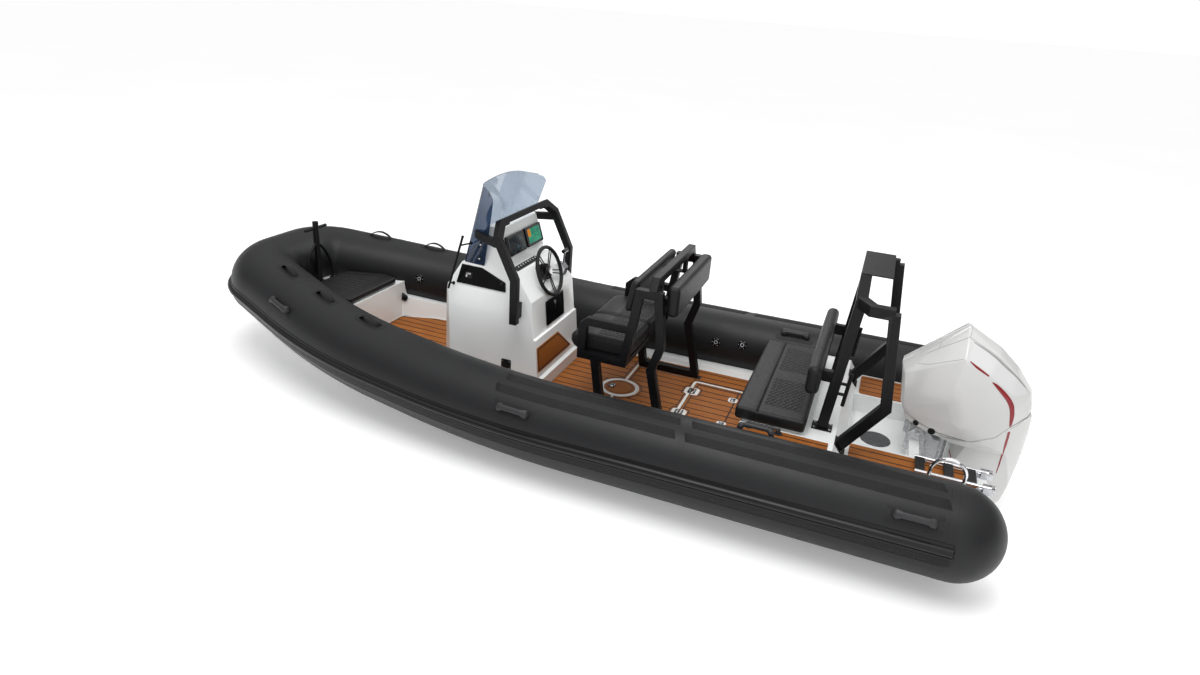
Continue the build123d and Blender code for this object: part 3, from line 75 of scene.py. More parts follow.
class Ex:
    """A value in a material's node tree, with arithmetic."""

    def __init__(self, mat, sock):
        self.mat, self.sock = mat, sock

    def op(self, kind, *others):
        node = self.mat.new("ShaderNodeMath", operation=kind)
        for i, other in enumerate((self,) + others):
            self.mat.put(node.inputs[i], other)
        return Ex(self.mat, node.outputs[0])

    def __add__(self, o): return self.op("ADD", o)
    def __sub__(self, o): return self.op("SUBTRACT", o)
    def __mul__(self, o): return self.op("MULTIPLY", o)
    def __truediv__(self, o): return self.op("DIVIDE", o)
    def __neg__(self): return self * -1.0
    __radd__, __rmul__ = __add__, __mul__

    def __rsub__(self, o): return self * -1.0 + o
    def abs(self): return self.op("ABSOLUTE")
    def fract(self): return self.op("FRACT")
    def floor(self): return self.op("FLOOR")
    def min(self, o): return self.op("MINIMUM", o)
    def max(self, o): return self.op("MAXIMUM", o)
    def above(self, o): return self.op("GREATER_THAN", o)

    def ramp(self, a, b):
        """0 at a, 1 at b, smooth between."""
        node = self.mat.new("ShaderNodeMapRange", interpolation_type="SMOOTHSTEP")
        self.mat.put(node.inputs["Value"], self)
        lo, hi = (a, b) if a < b else (b, a)
        node.inputs["From Min"].default_value, node.inputs["From Max"].default_value = lo, hi
        if a > b:
            node.inputs["To Min"].default_value, node.inputs["To Max"].default_value = 1.0, 0.0
        return Ex(self.mat, node.outputs["Result"])


class Mat:
    """A principled material with helpers for colour, roughness and bump."""

    def __init__(self, name, color=(0.5, 0.5, 0.5), rough=0.5, metal=0.0, **more):
        self.m = bpy.data.materials.new(name)
        self.m.use_nodes = True
        self.tree = self.m.node_tree
        self.bsdf = self.tree.nodes["Principled BSDF"]
        self.base = (*color, 1.0)
        self.bsdf.inputs["Base Color"].default_value = self.base
        self.bsdf.inputs["Roughness"].default_value = rough
        self.bsdf.inputs["Metallic"].default_value = metal
        for key, value in more.items():
            self.bsdf.inputs[key.replace("_", " ")].default_value = value
        self.m.diffuse_color = self.base
        self.normal = None
        self._xyz = None

    def new(self, kind, **props):
        node = self.tree.nodes.new(kind)
        for key, value in props.items():
            setattr(node, key, value)
        return node

    def put(self, sock, value):
        if isinstance(value, Ex):
            self.tree.links.new(value.sock, sock)
        else:
            sock.default_value = value

    def point(self):
        if self._xyz is None:
            self._xyz = self.new("ShaderNodeTexCoord").outputs["Object"]
        return self._xyz

    def xyz(self):
        node = self.new("ShaderNodeSeparateXYZ")
        self.tree.links.new(self.point(), node.inputs[0])
        return [Ex(self, node.outputs[i]) for i in range(3)]

    def texture(self, kind, stretch, **values):
        """A texture node over the object's own coordinates, stretched."""
        vec, node = self.new("ShaderNodeMapping"), self.new(kind)
        vec.inputs["Scale"].default_value = stretch
        self.tree.links.new(self.point(), vec.inputs["Vector"])
        self.tree.links.new(vec.outputs[0], node.inputs["Vector"])
        for key, value in values.items():
            node.inputs[key].default_value = value
        return node

    def noise(self, scale, detail=3.0, stretch=(1, 1, 1), rough=0.5):
        node = self.texture("ShaderNodeTexNoise", stretch, Scale=scale, Detail=detail, Roughness=rough)
        return Ex(self, node.outputs["Fac"])

    def cells(self, scale):
        return Ex(self, self.texture("ShaderNodeTexVoronoi", (1, 1, 1), Scale=scale).outputs["Distance"])

    def blend(self, fac, a, b):
        """Colour a to colour b; each a tuple or an Ex."""
        node = self.new("ShaderNodeMix", data_type="RGBA")
        self.put(node.inputs["Factor"], fac)
        for key, value in (("A", a), ("B", b)):
            sock = [s for s in node.inputs if s.name == key and s.type == "RGBA"][0]
            self.put(sock, value if isinstance(value, Ex) else (*value, 1.0))
        return Ex(self, [s for s in node.outputs if s.type == "RGBA"][0])

    def color(self, value):
        self.put(self.bsdf.inputs["Base Color"], value)
        return self

    def rough(self, value):
        self.put(self.bsdf.inputs["Roughness"], value)
        return self

    def bump(self, height, distance, strength=1.0):
        node = self.new("ShaderNodeBump")
        node.inputs["Distance"].default_value = distance
        node.inputs["Strength"].default_value = strength
        self.put(node.inputs["Height"], height)
        if self.normal:
            self.tree.links.new(self.normal, node.inputs["Normal"])
        self.normal = node.outputs["Normal"]
        self.tree.links.new(self.normal, self.bsdf.inputs["Normal"])
        return self

    def shade(self, amount, scale, detail=3.0, stretch=(1, 1, 1)):
        """Base colour varied a little by noise."""
        dark = tuple(c * (1 - amount) for c in self.base[:3])
        light = tuple(min(1.0, c * (1 + amount)) for c in self.base[:3])
        return self.color(self.blend(self.noise(scale, detail, stretch).ramp(0.3, 0.7), dark, light))

    def vary_rough(self, lo, hi, scale):
        n = self.noise(scale, 4.0)
        return self.rough(n * (hi - lo) + lo)


def rubber(name, color, rough, grain=0.0004, weave=0.0):
    m = Mat(name, color, rough, Specular_IOR_Level=0.30)
    m.shade(0.05, 5.0).vary_rough(rough - 0.04, rough + 0.06, 14.0)
    m.bump(m.noise(900.0, 2.0), grain, 0.5)
    if weave:
        m.bump(m.cells(420.0), weave, 0.35)
    return m


def gelcoat(name, color, rough=0.22):
    m = Mat(name, color, rough, Coat_Weight=0.35, Coat_Roughness=0.08)
    m.shade(0.025, 3.0).vary_rough(rough - 0.04, rough + 0.08, 14.0)
    m.bump(m.noise(14.0, 2.0), 0.0012, 0.25)
    return m


def vinyl(name):
    m = Mat(name, (0.0070, 0.0070, 0.0077), 0.42, Specular_IOR_Level=0.27)
    m.shade(0.08, 14.0).vary_rough(0.36, 0.52, 30.0)
    m.bump(m.cells(750.0), 0.0005, 0.6).bump(m.noise(60.0, 3.0), 0.0012, 0.25)
    return m


def finish(name, color, rough, shade, vary=None, grain=None, metal=0.0, **more):
    """A hard finish, its colour shaded by (amount, scale), its roughness varied by (lo, hi, scale), and its grain
    (scale, height, strength)."""
    m = Mat(name, color, rough, metal, **more)
    m.shade(*shade)
    if vary:
        m.vary_rough(*vary)
    if grain:
        m.bump(m.noise(grain[0], 2.0), *grain[1:])
    return m


M = {
    "fabric": rubber("tube_fabric", (0.0095, 0.0098, 0.0108), 0.44, 0.0002, 0.0003),
    "patch": rubber("tube_patch", (0.0070, 0.0072, 0.0080), 0.50, 0.0003),
    "grip": rubber("handle_grip", (0.030, 0.030, 0.032), 0.38, 0.0003),
    "strake": rubber("strake_rubber", (0.0028, 0.0028, 0.0030), 0.30, 0.0003),
    "tread": rubber("tube_tread", (0.0055, 0.0055, 0.0060), 0.60, 0.0006),
    "caulk": rubber("caulk_black", (0.012, 0.012, 0.012), 0.55),
    "wheel": rubber("wheel_black", (0.006, 0.006, 0.0065), 0.50),
    "white": gelcoat("gelcoat_white", (0.845, 0.860, 0.855)),
    "grit": gelcoat("gelcoat_nonskid", (0.78, 0.795, 0.79), 0.4),
    "engine": gelcoat("engine_white", (0.63, 0.63, 0.62), 0.14),
    "glaze": gelcoat("engine_recess", (0.66, 0.665, 0.66), 0.08),
    "vinyl": vinyl("vinyl_black"),
    "red": finish("stripe_red", (0.24, 0.004, 0.010), 0.28, (0.1, 12.0), Coat_Weight=0.2),
    "grey": finish("engine_grey", (0.045, 0.047, 0.05), 0.42, (0.15, 30.0), None, (500.0, 0.0003, 0.4)),
    "plastic": finish("black_plastic", (0.006, 0.006, 0.0065), 0.36, (0.2, 20.0), (0.32, 0.48, 30.0),
                      (1400.0, 0.00025, 0.5), Specular_IOR_Level=0.3),
    "gloss": finish("black_gloss", (0.004, 0.004, 0.0045), 0.16, (0.2, 12.0), (0.12, 0.22, 18.0),
                    Specular_IOR_Level=0.22),
    "frame": finish("black_powder_coat", (0.0042, 0.0042, 0.0052), 0.40, (0.2, 30.0), (0.36, 0.50, 40.0),
                    (1100.0, 0.0003, 0.45), Specular_IOR_Level=0.22),
    "chrome": finish("chrome", (0.72, 0.72, 0.74), 0.08, (0.04, 18.0), (0.05, 0.12, 26.0), metal=1.0),
    "silver": finish("engine_silver", (0.62, 0.63, 0.65), 0.26, (0.05, 12.0), (0.2, 0.34, 30.0), metal=0.35),
    "steel": finish("brushed_steel", (0.56, 0.57, 0.59), 0.22, (0.06, 25.0), (0.16, 0.3, 60.0), metal=1.0),
    "line": finish("white_line", (0.72, 0.71, 0.68), 0.5, (0.06, 60.0)),
    "seam_grey": finish("seam_grey", (0.30, 0.305, 0.30), 0.5, (0.06, 40.0)),
}
M["tread"].bump(M["tread"].cells(230.0), 0.0016, 0.7)
M["grit"].bump(M["grit"].cells(260.0), 0.0010, 0.8)


def wrapped(v, step):
    """The value's distance from the nearest whole step."""
    return ((v / step + 100.5).fract() - 0.5) * step


def quilted(name, areas, size):
    """Vinyl with painted shade in its honeycomb of stitched grooves, in rectangles (x0, x1, y0, y1) in metres."""
    m = vinyl(name)
    x, y, _ = m.xyz()
    tone = None
    for x0, x1, y0, y1 in areas:
        edge = None
        for ox, oy in ((0.0, 0.0), (size / 2, size * 3 ** 0.5 / 2)):
            dx, dy = wrapped(x - (x0 + ox), size).abs(), wrapped(y - (y0 + oy), size * 3 ** 0.5).abs()
            e = dx.max(dx * 0.5 + dy * (3 ** 0.5 / 2)) * -1.0 + size / 2
            edge = e if edge is None else edge.max(e)
        inside = (x - x0).min(-x + x1).min((y - y0).min(-y + y1)).ramp(0.0, 0.004)
        t = edge.ramp(0.0032, 0.0012) * inside
        tone = t if tone is None else tone.max(t)
    # painted shade in the grooves: near black within a few mm of each cell's edge
    m.color(m.blend(tone, (0.0095, 0.0095, 0.0103), (0.0010, 0.0010, 0.0010)))
    return m


def teak(name, pitch, line, offset=0.0, field=None):
    """Caulked foam planks run along x: dark lines at a pitch, inside a field, and wood grain."""
    m = Mat(name, (0.33, 0.104, 0.018), 0.66, Specular_IOR_Level=0.22)
    x, y, _ = m.xyz()
    along_x = (1.6, 34, 34)
    cell = ((y + offset) / pitch + 100.0)
    d = (cell.fract() - 0.5).abs() * pitch
    caulk = d.ramp(pitch / 2 - line / 2 - 0.0008, pitch / 2 - line / 2 + 0.0004)
    if field:
        caulk = caulk * field(x, y).above(0.0)
    # each plank's own tone, from its number
    tone = ((cell.floor() * 12.9898).op("SINE") * 43758.5453).fract()
    grain = m.noise(7.0, 5.0, along_x, 0.65)
    fine = m.noise(24.0, 3.0, along_x)
    wood = m.blend(grain.ramp(0.3, 0.72), (0.220, 0.061, 0.0085), (0.396, 0.135, 0.0230))
    wood = m.blend(fine.ramp(0.35, 0.7) * 0.35, wood, (0.17, 0.048, 0.0080))
    wood = m.blend(tone * 0.22, wood, (0.42, 0.156, 0.0320))
    m.color(m.blend(caulk, wood, (0.006, 0.006, 0.006)))
    m.rough(grain * 0.2 + 0.52)
    m.bump(fine, 0.0005, 0.5).bump(1.0 - caulk, 0.0012, 0.7)
    return m


def floor_field(x, y):
    """Over nought where the cockpit floor's planks have lines: not in the margins along its borders."""
    side = y.abs()
    hatch = (-x + 1.937).min(-side + 0.347).max((x - 1.993).max(side - 0.403))
    plate = ((x - 2.460) * (x - 2.460) + y * y).op("SQRT") - 0.163
    joint = ((x - 2.460).abs() - 0.027).max(-side + 0.160)
    edge = (-x + 1.48) * 0.0053 + 0.648
    edge = edge.min((-x + 3.0) * 0.126 + 0.640).min((-x + 4.35) * 0.445 + 0.470)
    return hatch.min(plate).min(joint).min(edge - side).min(x - 1.500)


M["teak"] = teak("teak_floor", 0.0775, 0.0105, 0.024, field=floor_field)
M["teak_small"] = teak("teak_side", 0.0725, 0.0100)
M["teak_plain"] = teak("teak_plain", 0.9, 0.001, 0.45)


# ------------------------------------------------------------------ mesh helpers

def body_of(node):
    parent = NODES[node].parent
    return next(n for n, e in BODIES.items() if e == parent)


def place(obj, mats, body, replaces=(), smooth=32.0):
    """Link a new piece, give it its materials and body."""
    bpy.context.scene.collection.objects.link(obj)
    for mat in (mats if isinstance(mats, (list, tuple)) else [mats]):
        obj.data.materials.append(M[mat].m)
    if obj.type == "MESH":
        obj.data.polygons.foreach_set("use_smooth", [True] * len(obj.data.polygons))
        obj.data.set_sharp_from_angle(angle=math.radians(smooth))
    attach(obj, body)
    if replaces:
        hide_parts(*replaces)
    return obj


def bm_piece(name, bm, mats, body, slot, replaces=(), smooth=32.0):
    bmesh.ops.recalc_face_normals(bm, faces=bm.faces)
    me = bpy.data.meshes.new(name)
    bm.to_mesh(me)
    bm.free()
    return place(bpy.data.objects.new(name, me), mats, body, replaces, smooth)


def mesh_piece(name, verts, faces, *rest):
    """A piece from points in metres and faces as indices; the rest as for bm_piece."""
    me = bpy.data.meshes.new("scratch")
    me.from_pydata([tuple(map(float, v)) for v in verts], [], [tuple(map(int, f)) for f in faces])
    bm = bmesh.new()
    bm.from_mesh(me)
    bpy.data.meshes.remove(me)
    return bm_piece(name, bm, *rest)


def cad_bmesh(node):
    """A node's mesh in the frame's coordinates, its coplanar triangles joined."""
    src = NODES[node]
    bm = bmesh.new()
    bm.from_mesh(src.data)
    bm.transform(src.matrix_world)
    bmesh.ops.remove_doubles(bm, verts=bm.verts, dist=2e-5)
    flat = bm.copy()
    bmesh.ops.dissolve_limit(flat, angle_limit=math.radians(0.5), verts=flat.verts, edges=flat.edges)
    check = flat.copy()
    bmesh.ops.triangulate(check, faces=check.faces)
    before, after = (sum(f.calc_area() for f in b.faces) for b in (bm, check))
    check.free()
    if abs(before - after) < 0.001 * before:
        bm.free()
        return flat
    # a face with a hole in it can't be one polygon, so its triangles only pair up
    flat.free()
    bmesh.ops.join_triangles(bm, faces=bm.faces, angle_face_threshold=0.01, angle_shape_threshold=3.0)
    return bm


def dress(node, mats, slot, width=4.0, segments=3, angle=30.0, pick=None, smooth=35.0):
    """A cleaned copy of a CAD node with softened edges, in its place."""
    bm = cad_bmesh(node)
    if pick:
        for f in bm.faces:
            f.material_index = pick(f.calc_center_median() / MM, f.normal)
    obj = bm_piece(node + "_skin", bm, mats, body_of(node), slot, (node,), smooth)
    if width:
        mod = obj.modifiers.new("bevel", "BEVEL")
        mod.width, mod.segments = width * MM, segments
        mod.limit_method, mod.angle_limit = "ANGLE", math.radians(angle)
        mod.miter_outer = "MITER_ARC"
        mod.harden_normals = False
    return obj


def basis(normal, along=None):
    """A turn matrix whose Z is the normal and X runs along."""
    n = Vector(normal).normalized()
    a = Vector(along or (AHEAD if abs(n.x) < 0.9 else ACROSS))
    a = (a - n * a.dot(n)).normalized()
    b = n.cross(a)
    return Matrix((a, b, n)).transposed()


def circle(r, steps, h=0.0):
    """Points round a circle in mm, as vectors at a height."""
    return [Vector((r * math.cos(2 * math.pi * i / steps), r * math.sin(2 * math.pi * i / steps), h))
            for i in range(steps)]


def lofted(bm, rings, index=0, closed=True, caps=False):
    """Faces between neighbouring rows of vertices; closed rows run right round."""
    for a, b in zip(rings, rings[1:]):
        for k in range(len(a) - (not closed)):
            j = (k + 1) % len(a)
            bm.faces.new((a[k], a[j], b[j], b[k])).material_index = index
    if caps:
        for ring in (rings[0], rings[-1]):
            bm.faces.new(ring).material_index = index


def turned(bm, profile, origin, normal, steps=32, index=0, close=True):
    """Revolve a profile of (radius, height) about a normal at an origin."""
    turn, o = basis(normal), Vector(origin)
    rings = [[bm.verts.new((o + turn @ p) * MM) for p in circle(r, steps if r > 1e-6 else 1, h)] for r, h in profile]
    for a, b in zip(rings, rings[1:]):
        for i in range(steps):
            j = (i + 1) % steps
            face = list(dict.fromkeys([a[i % len(a)], a[j % len(a)], b[j % len(b)], b[i % len(b)]]))
            if len(face) > 2:
                bm.faces.new(face).material_index = index
    for ring in (rings[0], rings[-1]) if close else ():
        if len(ring) > 2:
            bm.faces.new(ring).material_index = index


def curve(points, steps):
    """Points on a smooth curve through the given ones, steps to a span."""
    pts = [Vector(p) for p in points]
    ext = [pts[0] * 2 - pts[1]] + pts + [pts[-1] * 2 - pts[-2]]
    out = []
    for p0, p1, p2, p3 in zip(ext, ext[1:], ext[2:], ext[3:]):
        for k in range(steps):
            t = k / steps
            out.append(0.5 * ((2 * p1) + (p2 - p0) * t + (2 * p0 - 5 * p1 + 4 * p2 - p3) * t * t
                              + (3 * p1 - p0 - 3 * p2 + p3) * t ** 3))
    return out + [pts[-1]]


def pipe(bm, points, radius, steps):
    """Round pipe through points in mm."""
    side, rings = None, []
    for i, p in enumerate(points):
        t = (points[min(i + 1, len(points) - 1)] - points[max(i - 1, 0)]).normalized()
        side = side or basis(t).col[0].copy()
        side = (side - t * side.dot(t)).normalized()
        turn = Matrix((side, t.cross(side), t)).transposed()
        rings.append([bm.verts.new((p + turn @ c) * MM) for c in circle(radius, steps)])
    lofted(bm, rings, caps=True)


def slab(bm, outline, origin, normal, along, thick, index=0, inset=1.2, base=0.0):
    """A plate with softened top edge from an outline (u, v) on a plane."""
    turn, o = basis(normal, along), Vector(origin)
    cu, cv = (sum(p[i] for p in outline) / len(outline) for i in (0, 1))

    def ring(shrink, h):
        out = []
        for u, v in outline:
            k = max(0.0, 1 - shrink / (math.hypot(u - cu, v - cv) or 1.0))
            out.append(bm.verts.new((o + turn @ Vector((cu + (u - cu) * k, cv + (v - cv) * k, h))) * MM))
        return out
    rings = [ring(0, base), ring(0, thick - inset), ring(inset * 0.35, thick - inset * 0.3), ring(inset, thick)]
    lofted(bm, rings, index, caps=True)


def round_rect(w, h, r, steps=6):
    """Outline of a rectangle w by h with rounded corners, centred."""
    out = []
    for cx, cy, a0 in ((w / 2 - r, h / 2 - r, 0), (-w / 2 + r, h / 2 - r, 90), (-w / 2 + r, -h / 2 + r, 180),
                       (w / 2 - r, -h / 2 + r, 270)):
        for i in range(steps + 1):
            a = math.radians(a0 + 90 * i / steps)
            out.append((cx + r * math.cos(a), cy + r * math.sin(a)))
    return out


# ------------------------------------------------------------------ air tubes

TUBE_R = 265.0
TUBE_STEP, TUBE_SIDES, DOME_STEPS = 26, 112, 15       # a tube's rows are this far apart, in mm; points in a row
RIB_PITCH = 9.0
STERN, KNEE = Vector((200.0, 985.0, 350.0)), Vector((3000.0, 962.0, 334.0))
SHOULDER, CORNER = Vector((4350.0, 793.0, 435.0)), Vector((5497.0, 375.0, 612.0))
BOW_R = 330.0


def mirror_point(p):
    return Vector((p.x, -p.y, p.z))


class Path:
    """The tubes' centreline, sampled closely: port stern, round the bow, to the starboard stern."""

    def __init__(self):
        a = SHOULDER - CORNER
        reach = BOW_R * math.tan((math.pi - a.angle(Vector((0, -1, 0)))) / 2)
        corners = [STERN, KNEE, SHOULDER, CORNER, mirror_point(CORNER), mirror_point(SHOULDER),
                   mirror_point(KNEE), mirror_point(STERN)]
        reaches = [0, 620.0, 496.0, reach, reach, 496.0, 620.0, 0]
        pts, tans = [STERN.copy()], [(KNEE - STERN).normalized()]
        for i in range(1, len(corners)):
            before, here = corners[i - 1], corners[i]
            way = (here - before).normalized()
            end = here - way * reaches[i]
            self.run(pts, tans, end, way)
            if i < len(corners) - 1:
                out = (corners[i + 1] - here).normalized()
                self.arc(pts, tans, end, way, out, reaches[i])
        self.p = np.array([tuple(p) for p in pts])
        self.t = np.array([tuple(t) for t in tans])
        self.s = np.concatenate([[0], np.cumsum(np.linalg.norm(np.diff(self.p, axis=0), axis=1))])
        self.length = self.s[-1]

    @staticmethod
    def run(pts, tans, end, way):
        start = pts[-1]
        n = max(1, int((end - start).length / 20))
        for k in range(1, n + 1):
            pts.append(start.lerp(end, k / n))
            tans.append(way)

    @staticmethod
    def arc(pts, tans, start, way, out, reach):
        turn = way.angle(out)
        radius = reach / math.tan(turn / 2)
        inward = (out - way * out.dot(way)).normalized()
        centre = start + inward * radius
        n = max(2, int(radius * turn / 12))
        for k in range(1, n + 1):
            a = turn * k / n
            pts.append(centre - inward * radius * math.cos(a) + way * radius * math.sin(a))
            tans.append((way * math.cos(a) + inward * math.sin(a)).normalized())

    def at(self, s):
        s = np.asarray(s, dtype=float)
        p = np.stack([np.interp(s, self.s, self.p[:, i]) for i in range(3)], -1)
        t = np.stack([np.interp(s, self.s, self.t[:, i]) for i in range(3)], -1)
        t /= np.linalg.norm(t, axis=-1, keepdims=True)
        up = np.array([0, 0, 1.0]) - t * t[..., 2:3]
        up /= np.linalg.norm(up, axis=-1, keepdims=True)
        return p, t, up, np.cross(up, t)

    def skin(self, s, angle, lift=0.0):
        """Points on the tubes: s along in mm, angle in degrees up from outboard, lift off the skin."""
        p, _, up, out = self.at(s)
        a = np.radians(np.asarray(angle, dtype=float))[..., None]
        r = TUBE_R + np.asarray(lift, dtype=float)
        r = r[..., None] if np.ndim(r) else r
        return p + (out * np.cos(a) + up * np.sin(a)) * r

    def station(self, x):
        """Distance along where the port tube reaches x."""
        half = self.length / 2
        keep = self.s <= half
        return float(np.interp(x, self.p[keep, 0], self.s[keep]))


TUBE = Path()
BAFFLE_S = TUBE.station(SHOULDER.x + (CORNER.x - SHOULDER.x) * 0.45)


def grid_faces(rows, cols, wrap=False):
    """Faces of a grid of points numbered row by row; each row runs right round when wrapped."""
    return [(i * cols + j, i * cols + (j + 1) % cols, (i + 1) * cols + (j + 1) % cols, (i + 1) * cols + j)
            for i in range(rows - 1) for j in range(cols if wrap else cols - 1)]


def end_faces(count, n):
    """The first and last row of n points out of a count."""
    return [tuple(range(n)), tuple(range(count - n, count))]


def tube_piece(name, s0, s1, node):
    """One chamber; an end at the stern is domed."""
    s = np.linspace(s0, s1, int((s1 - s0) / TUBE_STEP) + 2)
    ang = np.arange(0, 360, 360 / TUBE_SIDES)
    rows = [TUBE.skin(np.full(len(ang), v), ang) for v in s]
    for side, at_stern in ((0, s0 <= 0.0), (-1, s1 >= TUBE.length)):
        if at_stern:
            p, t, up, out = TUBE.at(s[side])
            sign = -1 if side == 0 else 1
            a = np.radians(ang)[:, None]
            cap = []
            for k in range(1, DOME_STEPS):
                b = math.radians(90 * k / DOME_STEPS)
                cap.append(p + t * sign * TUBE_R * math.sin(b)
                           + (out * np.cos(a) + up * np.sin(a)) * TUBE_R * math.cos(b))
            rows = cap[::-1] + rows if side == 0 else rows + cap
    verts = np.concatenate(rows) * MM
    faces = grid_faces(len(rows), len(ang), True) + end_faces(len(verts), len(ang))
    return mesh_piece(name, verts, faces, "fabric", "boat", "tube_fabric", (node,), 40)


tube_piece("port_tube", 0.0, BAFFLE_S, "tube_port")
tube_piece("bow_tube", BAFFLE_S, TUBE.length - BAFFLE_S, "tube_bow")
tube_piece("starboard_tube", TUBE.length - BAFFLE_S, TUBE.length, "tube_starboard")


def skin_patch(s_edge, a_edge, lift, m, n=None, cross=None):
    """A thin sheet on the tubes from (start, end, slant) along them and (start, end) in degrees round them, its rim
    sunk. m and n are its steps, and cross adds to its lift."""
    (s0, s1, slant), (a0, a1) = s_edge, a_edge
    n = n or max(2, int((s1 - s0) / 24))
    u, v = np.meshgrid(np.linspace(0, 1, n + 1), np.linspace(0, 1, m + 1), indexing="ij")
    eps_s, eps_a = 1.2 / (s1 - s0), 0.25 / (a1 - a0)
    u[1, :], u[-2, :] = eps_s, 1 - eps_s
    v[:, 1], v[:, -2] = eps_a, 1 - eps_a
    s = s0 + (s1 - s0) * u + slant * (v - 0.5)
    a = a0 + (a1 - a0) * v
    rise = np.full(u.shape, lift)
    rise[0, :] = rise[-1, :] = rise[:, 0] = rise[:, -1] = -0.6
    if cross is not None:
        rise[1:-1, 1:-1] += cross(a)[1:-1, 1:-1]
    return TUBE.skin(s.ravel(), a.ravel(), rise.ravel()) * MM, grid_faces(n + 1, m + 1)


def join_patches(name, patches, mat, slot, smooth=30):
    verts, faces = [], []
    for pts, fs in patches:
        faces += [tuple(i + len(verts) for i in f) for f in fs]
        verts += list(pts)
    return mesh_piece(name, verts, faces, mat, "boat", slot, (), smooth)


def on_side(side, s0, s1, slant=0.0):
    """A run along the port tube, or its starboard twin."""
    return (s0, s1, slant) if side > 0 else (TUBE.length - s1, TUBE.length - s0, -slant)


def place_on(side, s):
    """A place along the port tube, or its starboard twin."""
    return s if side > 0 else TUBE.length - s


def ribs(a):
    """Height of the fine ribs that run along the anti-slip strips, by angle round the tube."""
    return 0.55 * np.sin(np.radians(a) * TUBE_R * 2 * math.pi / RIB_PITCH)


# anti-slip strips on the tubes' shoulders, finely ribbed along their run
treads = []
for side in SIDES:
    for s0, s1 in ((60, 1475), (1545, 2715)):
        for a0, a1, trim, lead in ((55.5, 68.5, 0, 12), (79.0, 94.0, 30 if s0 < 100 else 0, 0)):
            treads.append(skin_patch(on_side(side, s0 + trim, s1 + lead, 22), (a0, a1), 1.6, int((a1 - a0) * 4),
                                     cross=ribs))
join_patches("anti_slip_strips", treads, "tread", "strake_rubber", 60)

# welded seam tapes round the baffles and the stern ends
tapes = [skin_patch((s0 - 24, s0 + 24, 0), (-60, 262), 0.9, 120, 6) for s0 in (BAFFLE_S, TUBE.length - BAFFLE_S)]
for side in SIDES:
    for s0 in (1492, 2985):
        tapes.append(skin_patch(on_side(side, s0 - 14, s0 + 14), (24, 262), 0.6, 90, 5))
    tapes.append(skin_patch(on_side(side, 20, 60), (-100, 262), 0.9, 120, 5))
join_patches("seam_tapes", tapes, "fabric", "tube_fabric")


# ------------------------------------------------------------------ rub strake

RISE = [(200.0, 26.0), (2000.0, 14.0), (4800.0, -30.0), (5800.0, -40.0)]


def strake_mid(x):
    return np.interp(x, [r[0] for r in RISE], [r[1] for r in RISE])


def strake_profile():
    """(lift off the tube's skin, height over the strake's middle) from its top edge down."""
    out = [(-1.0, 60.5), (3.2, 60.0), (4.0, 57.0), (4.2, 46.0)]
    for i in range(13):
        a = math.radians(100 - 190 * i / 12)
        out.append((6.0 + 23.5 * max(math.cos(a), -0.05), 21.0 + 24.0 * math.sin(a)))
    out += [(7.5, -5.0), (13.0, -7.0), (13.8, -10.0)]
    for i in range(4):
        z = -14.0 - 11.0 * i
        out += [(13.8, z), (13.8, z - 7.6), (12.2, z - 9.0), (12.2, z - 10.0)]
    out += [(13.4, -57.5), (9.0, -59.8), (-1.0, -60.0)]
    return np.array(out)


def strake_piece(name, s0, s1, node, ends):
    prof = strake_profile()
    s = np.concatenate([[s0, s0 + 4, s0 + 10], np.arange(s0 + 24, s1 - 18, 24.0), [s1 - 10, s1 - 4, s1]])
    p, _, up, out = TUBE.at(s)
    mid = strake_mid(p[:, 0])
    rows = []
    shrink = np.ones(len(s))
    if ends[0]:
        shrink = np.minimum(shrink, np.clip((s - s0) / 10.0, 0, 1) ** 0.5)
    if ends[1]:
        shrink = np.minimum(shrink, np.clip((s1 - s) / 10.0, 0, 1) ** 0.5)
    for i in range(len(s)):
        b = prof[:, 1] * (0.35 + 0.65 * shrink[i]) + mid[i]
        a = np.sqrt(np.maximum(TUBE_R ** 2 - b ** 2, 1)) + 0.3 + prof[:, 0] * (0.15 + 0.85 * shrink[i])
        rows.append(p[i] + out[i] * a[:, None] + up[i] * b[:, None])
    verts = np.concatenate(rows) * MM
    faces = grid_faces(len(rows), len(prof)) + end_faces(len(verts), len(prof))
    return mesh_piece(name, verts, faces, "strake", "boat", "strake_rubber", (node,), 38)


strake_piece("port_strake", 4.0, BAFFLE_S - 1, "strake_port", (True, False))
strake_piece("bow_strake", BAFFLE_S + 1, TUBE.length - BAFFLE_S - 1, "strake_bow", (False, False))
strake_piece("starboard_strake", TUBE.length - BAFFLE_S + 1, TUBE.length - 4, "strake_starboard", (False, True))

# flat black band below the strake, on the tubes' lower side
bands = []
for side in SIDES:
    n = 90
    s = np.linspace(30, TUBE.length / 2, n)
    x = TUBE.at(s)[0][:, 0]
    lo = -23.0 - 6.0 * np.clip((x - 400) / 2500, 0, 1)
    hi = np.degrees(np.arcsin((strake_mid(x) - 62) / TUBE_R)) - 3.0
    rows = []
    for f, lift in ((0, -0.6), (0.02, 1.6), (0.5, 1.9), (0.98, 1.6), (1, -0.6)):
        rows.append(TUBE.skin(place_on(side, s), hi + (lo - hi) * f, np.full(n, lift)) * MM)
    bands.append((np.concatenate(rows), grid_faces(5, n)))
join_patches("black_bands_below_strake", bands, "strake", "strake_rubber", 40)


# ------------------------------------------------------------------ tube fittings

def skin_frame(s, angle):
    """Origin, outward normal and run direction on the tubes."""
    o = Vector(TUBE.skin(s, angle))
    p, t = TUBE.at(s)[:2]
    return o, (o - Vector(p)).normalized(), Vector(t)


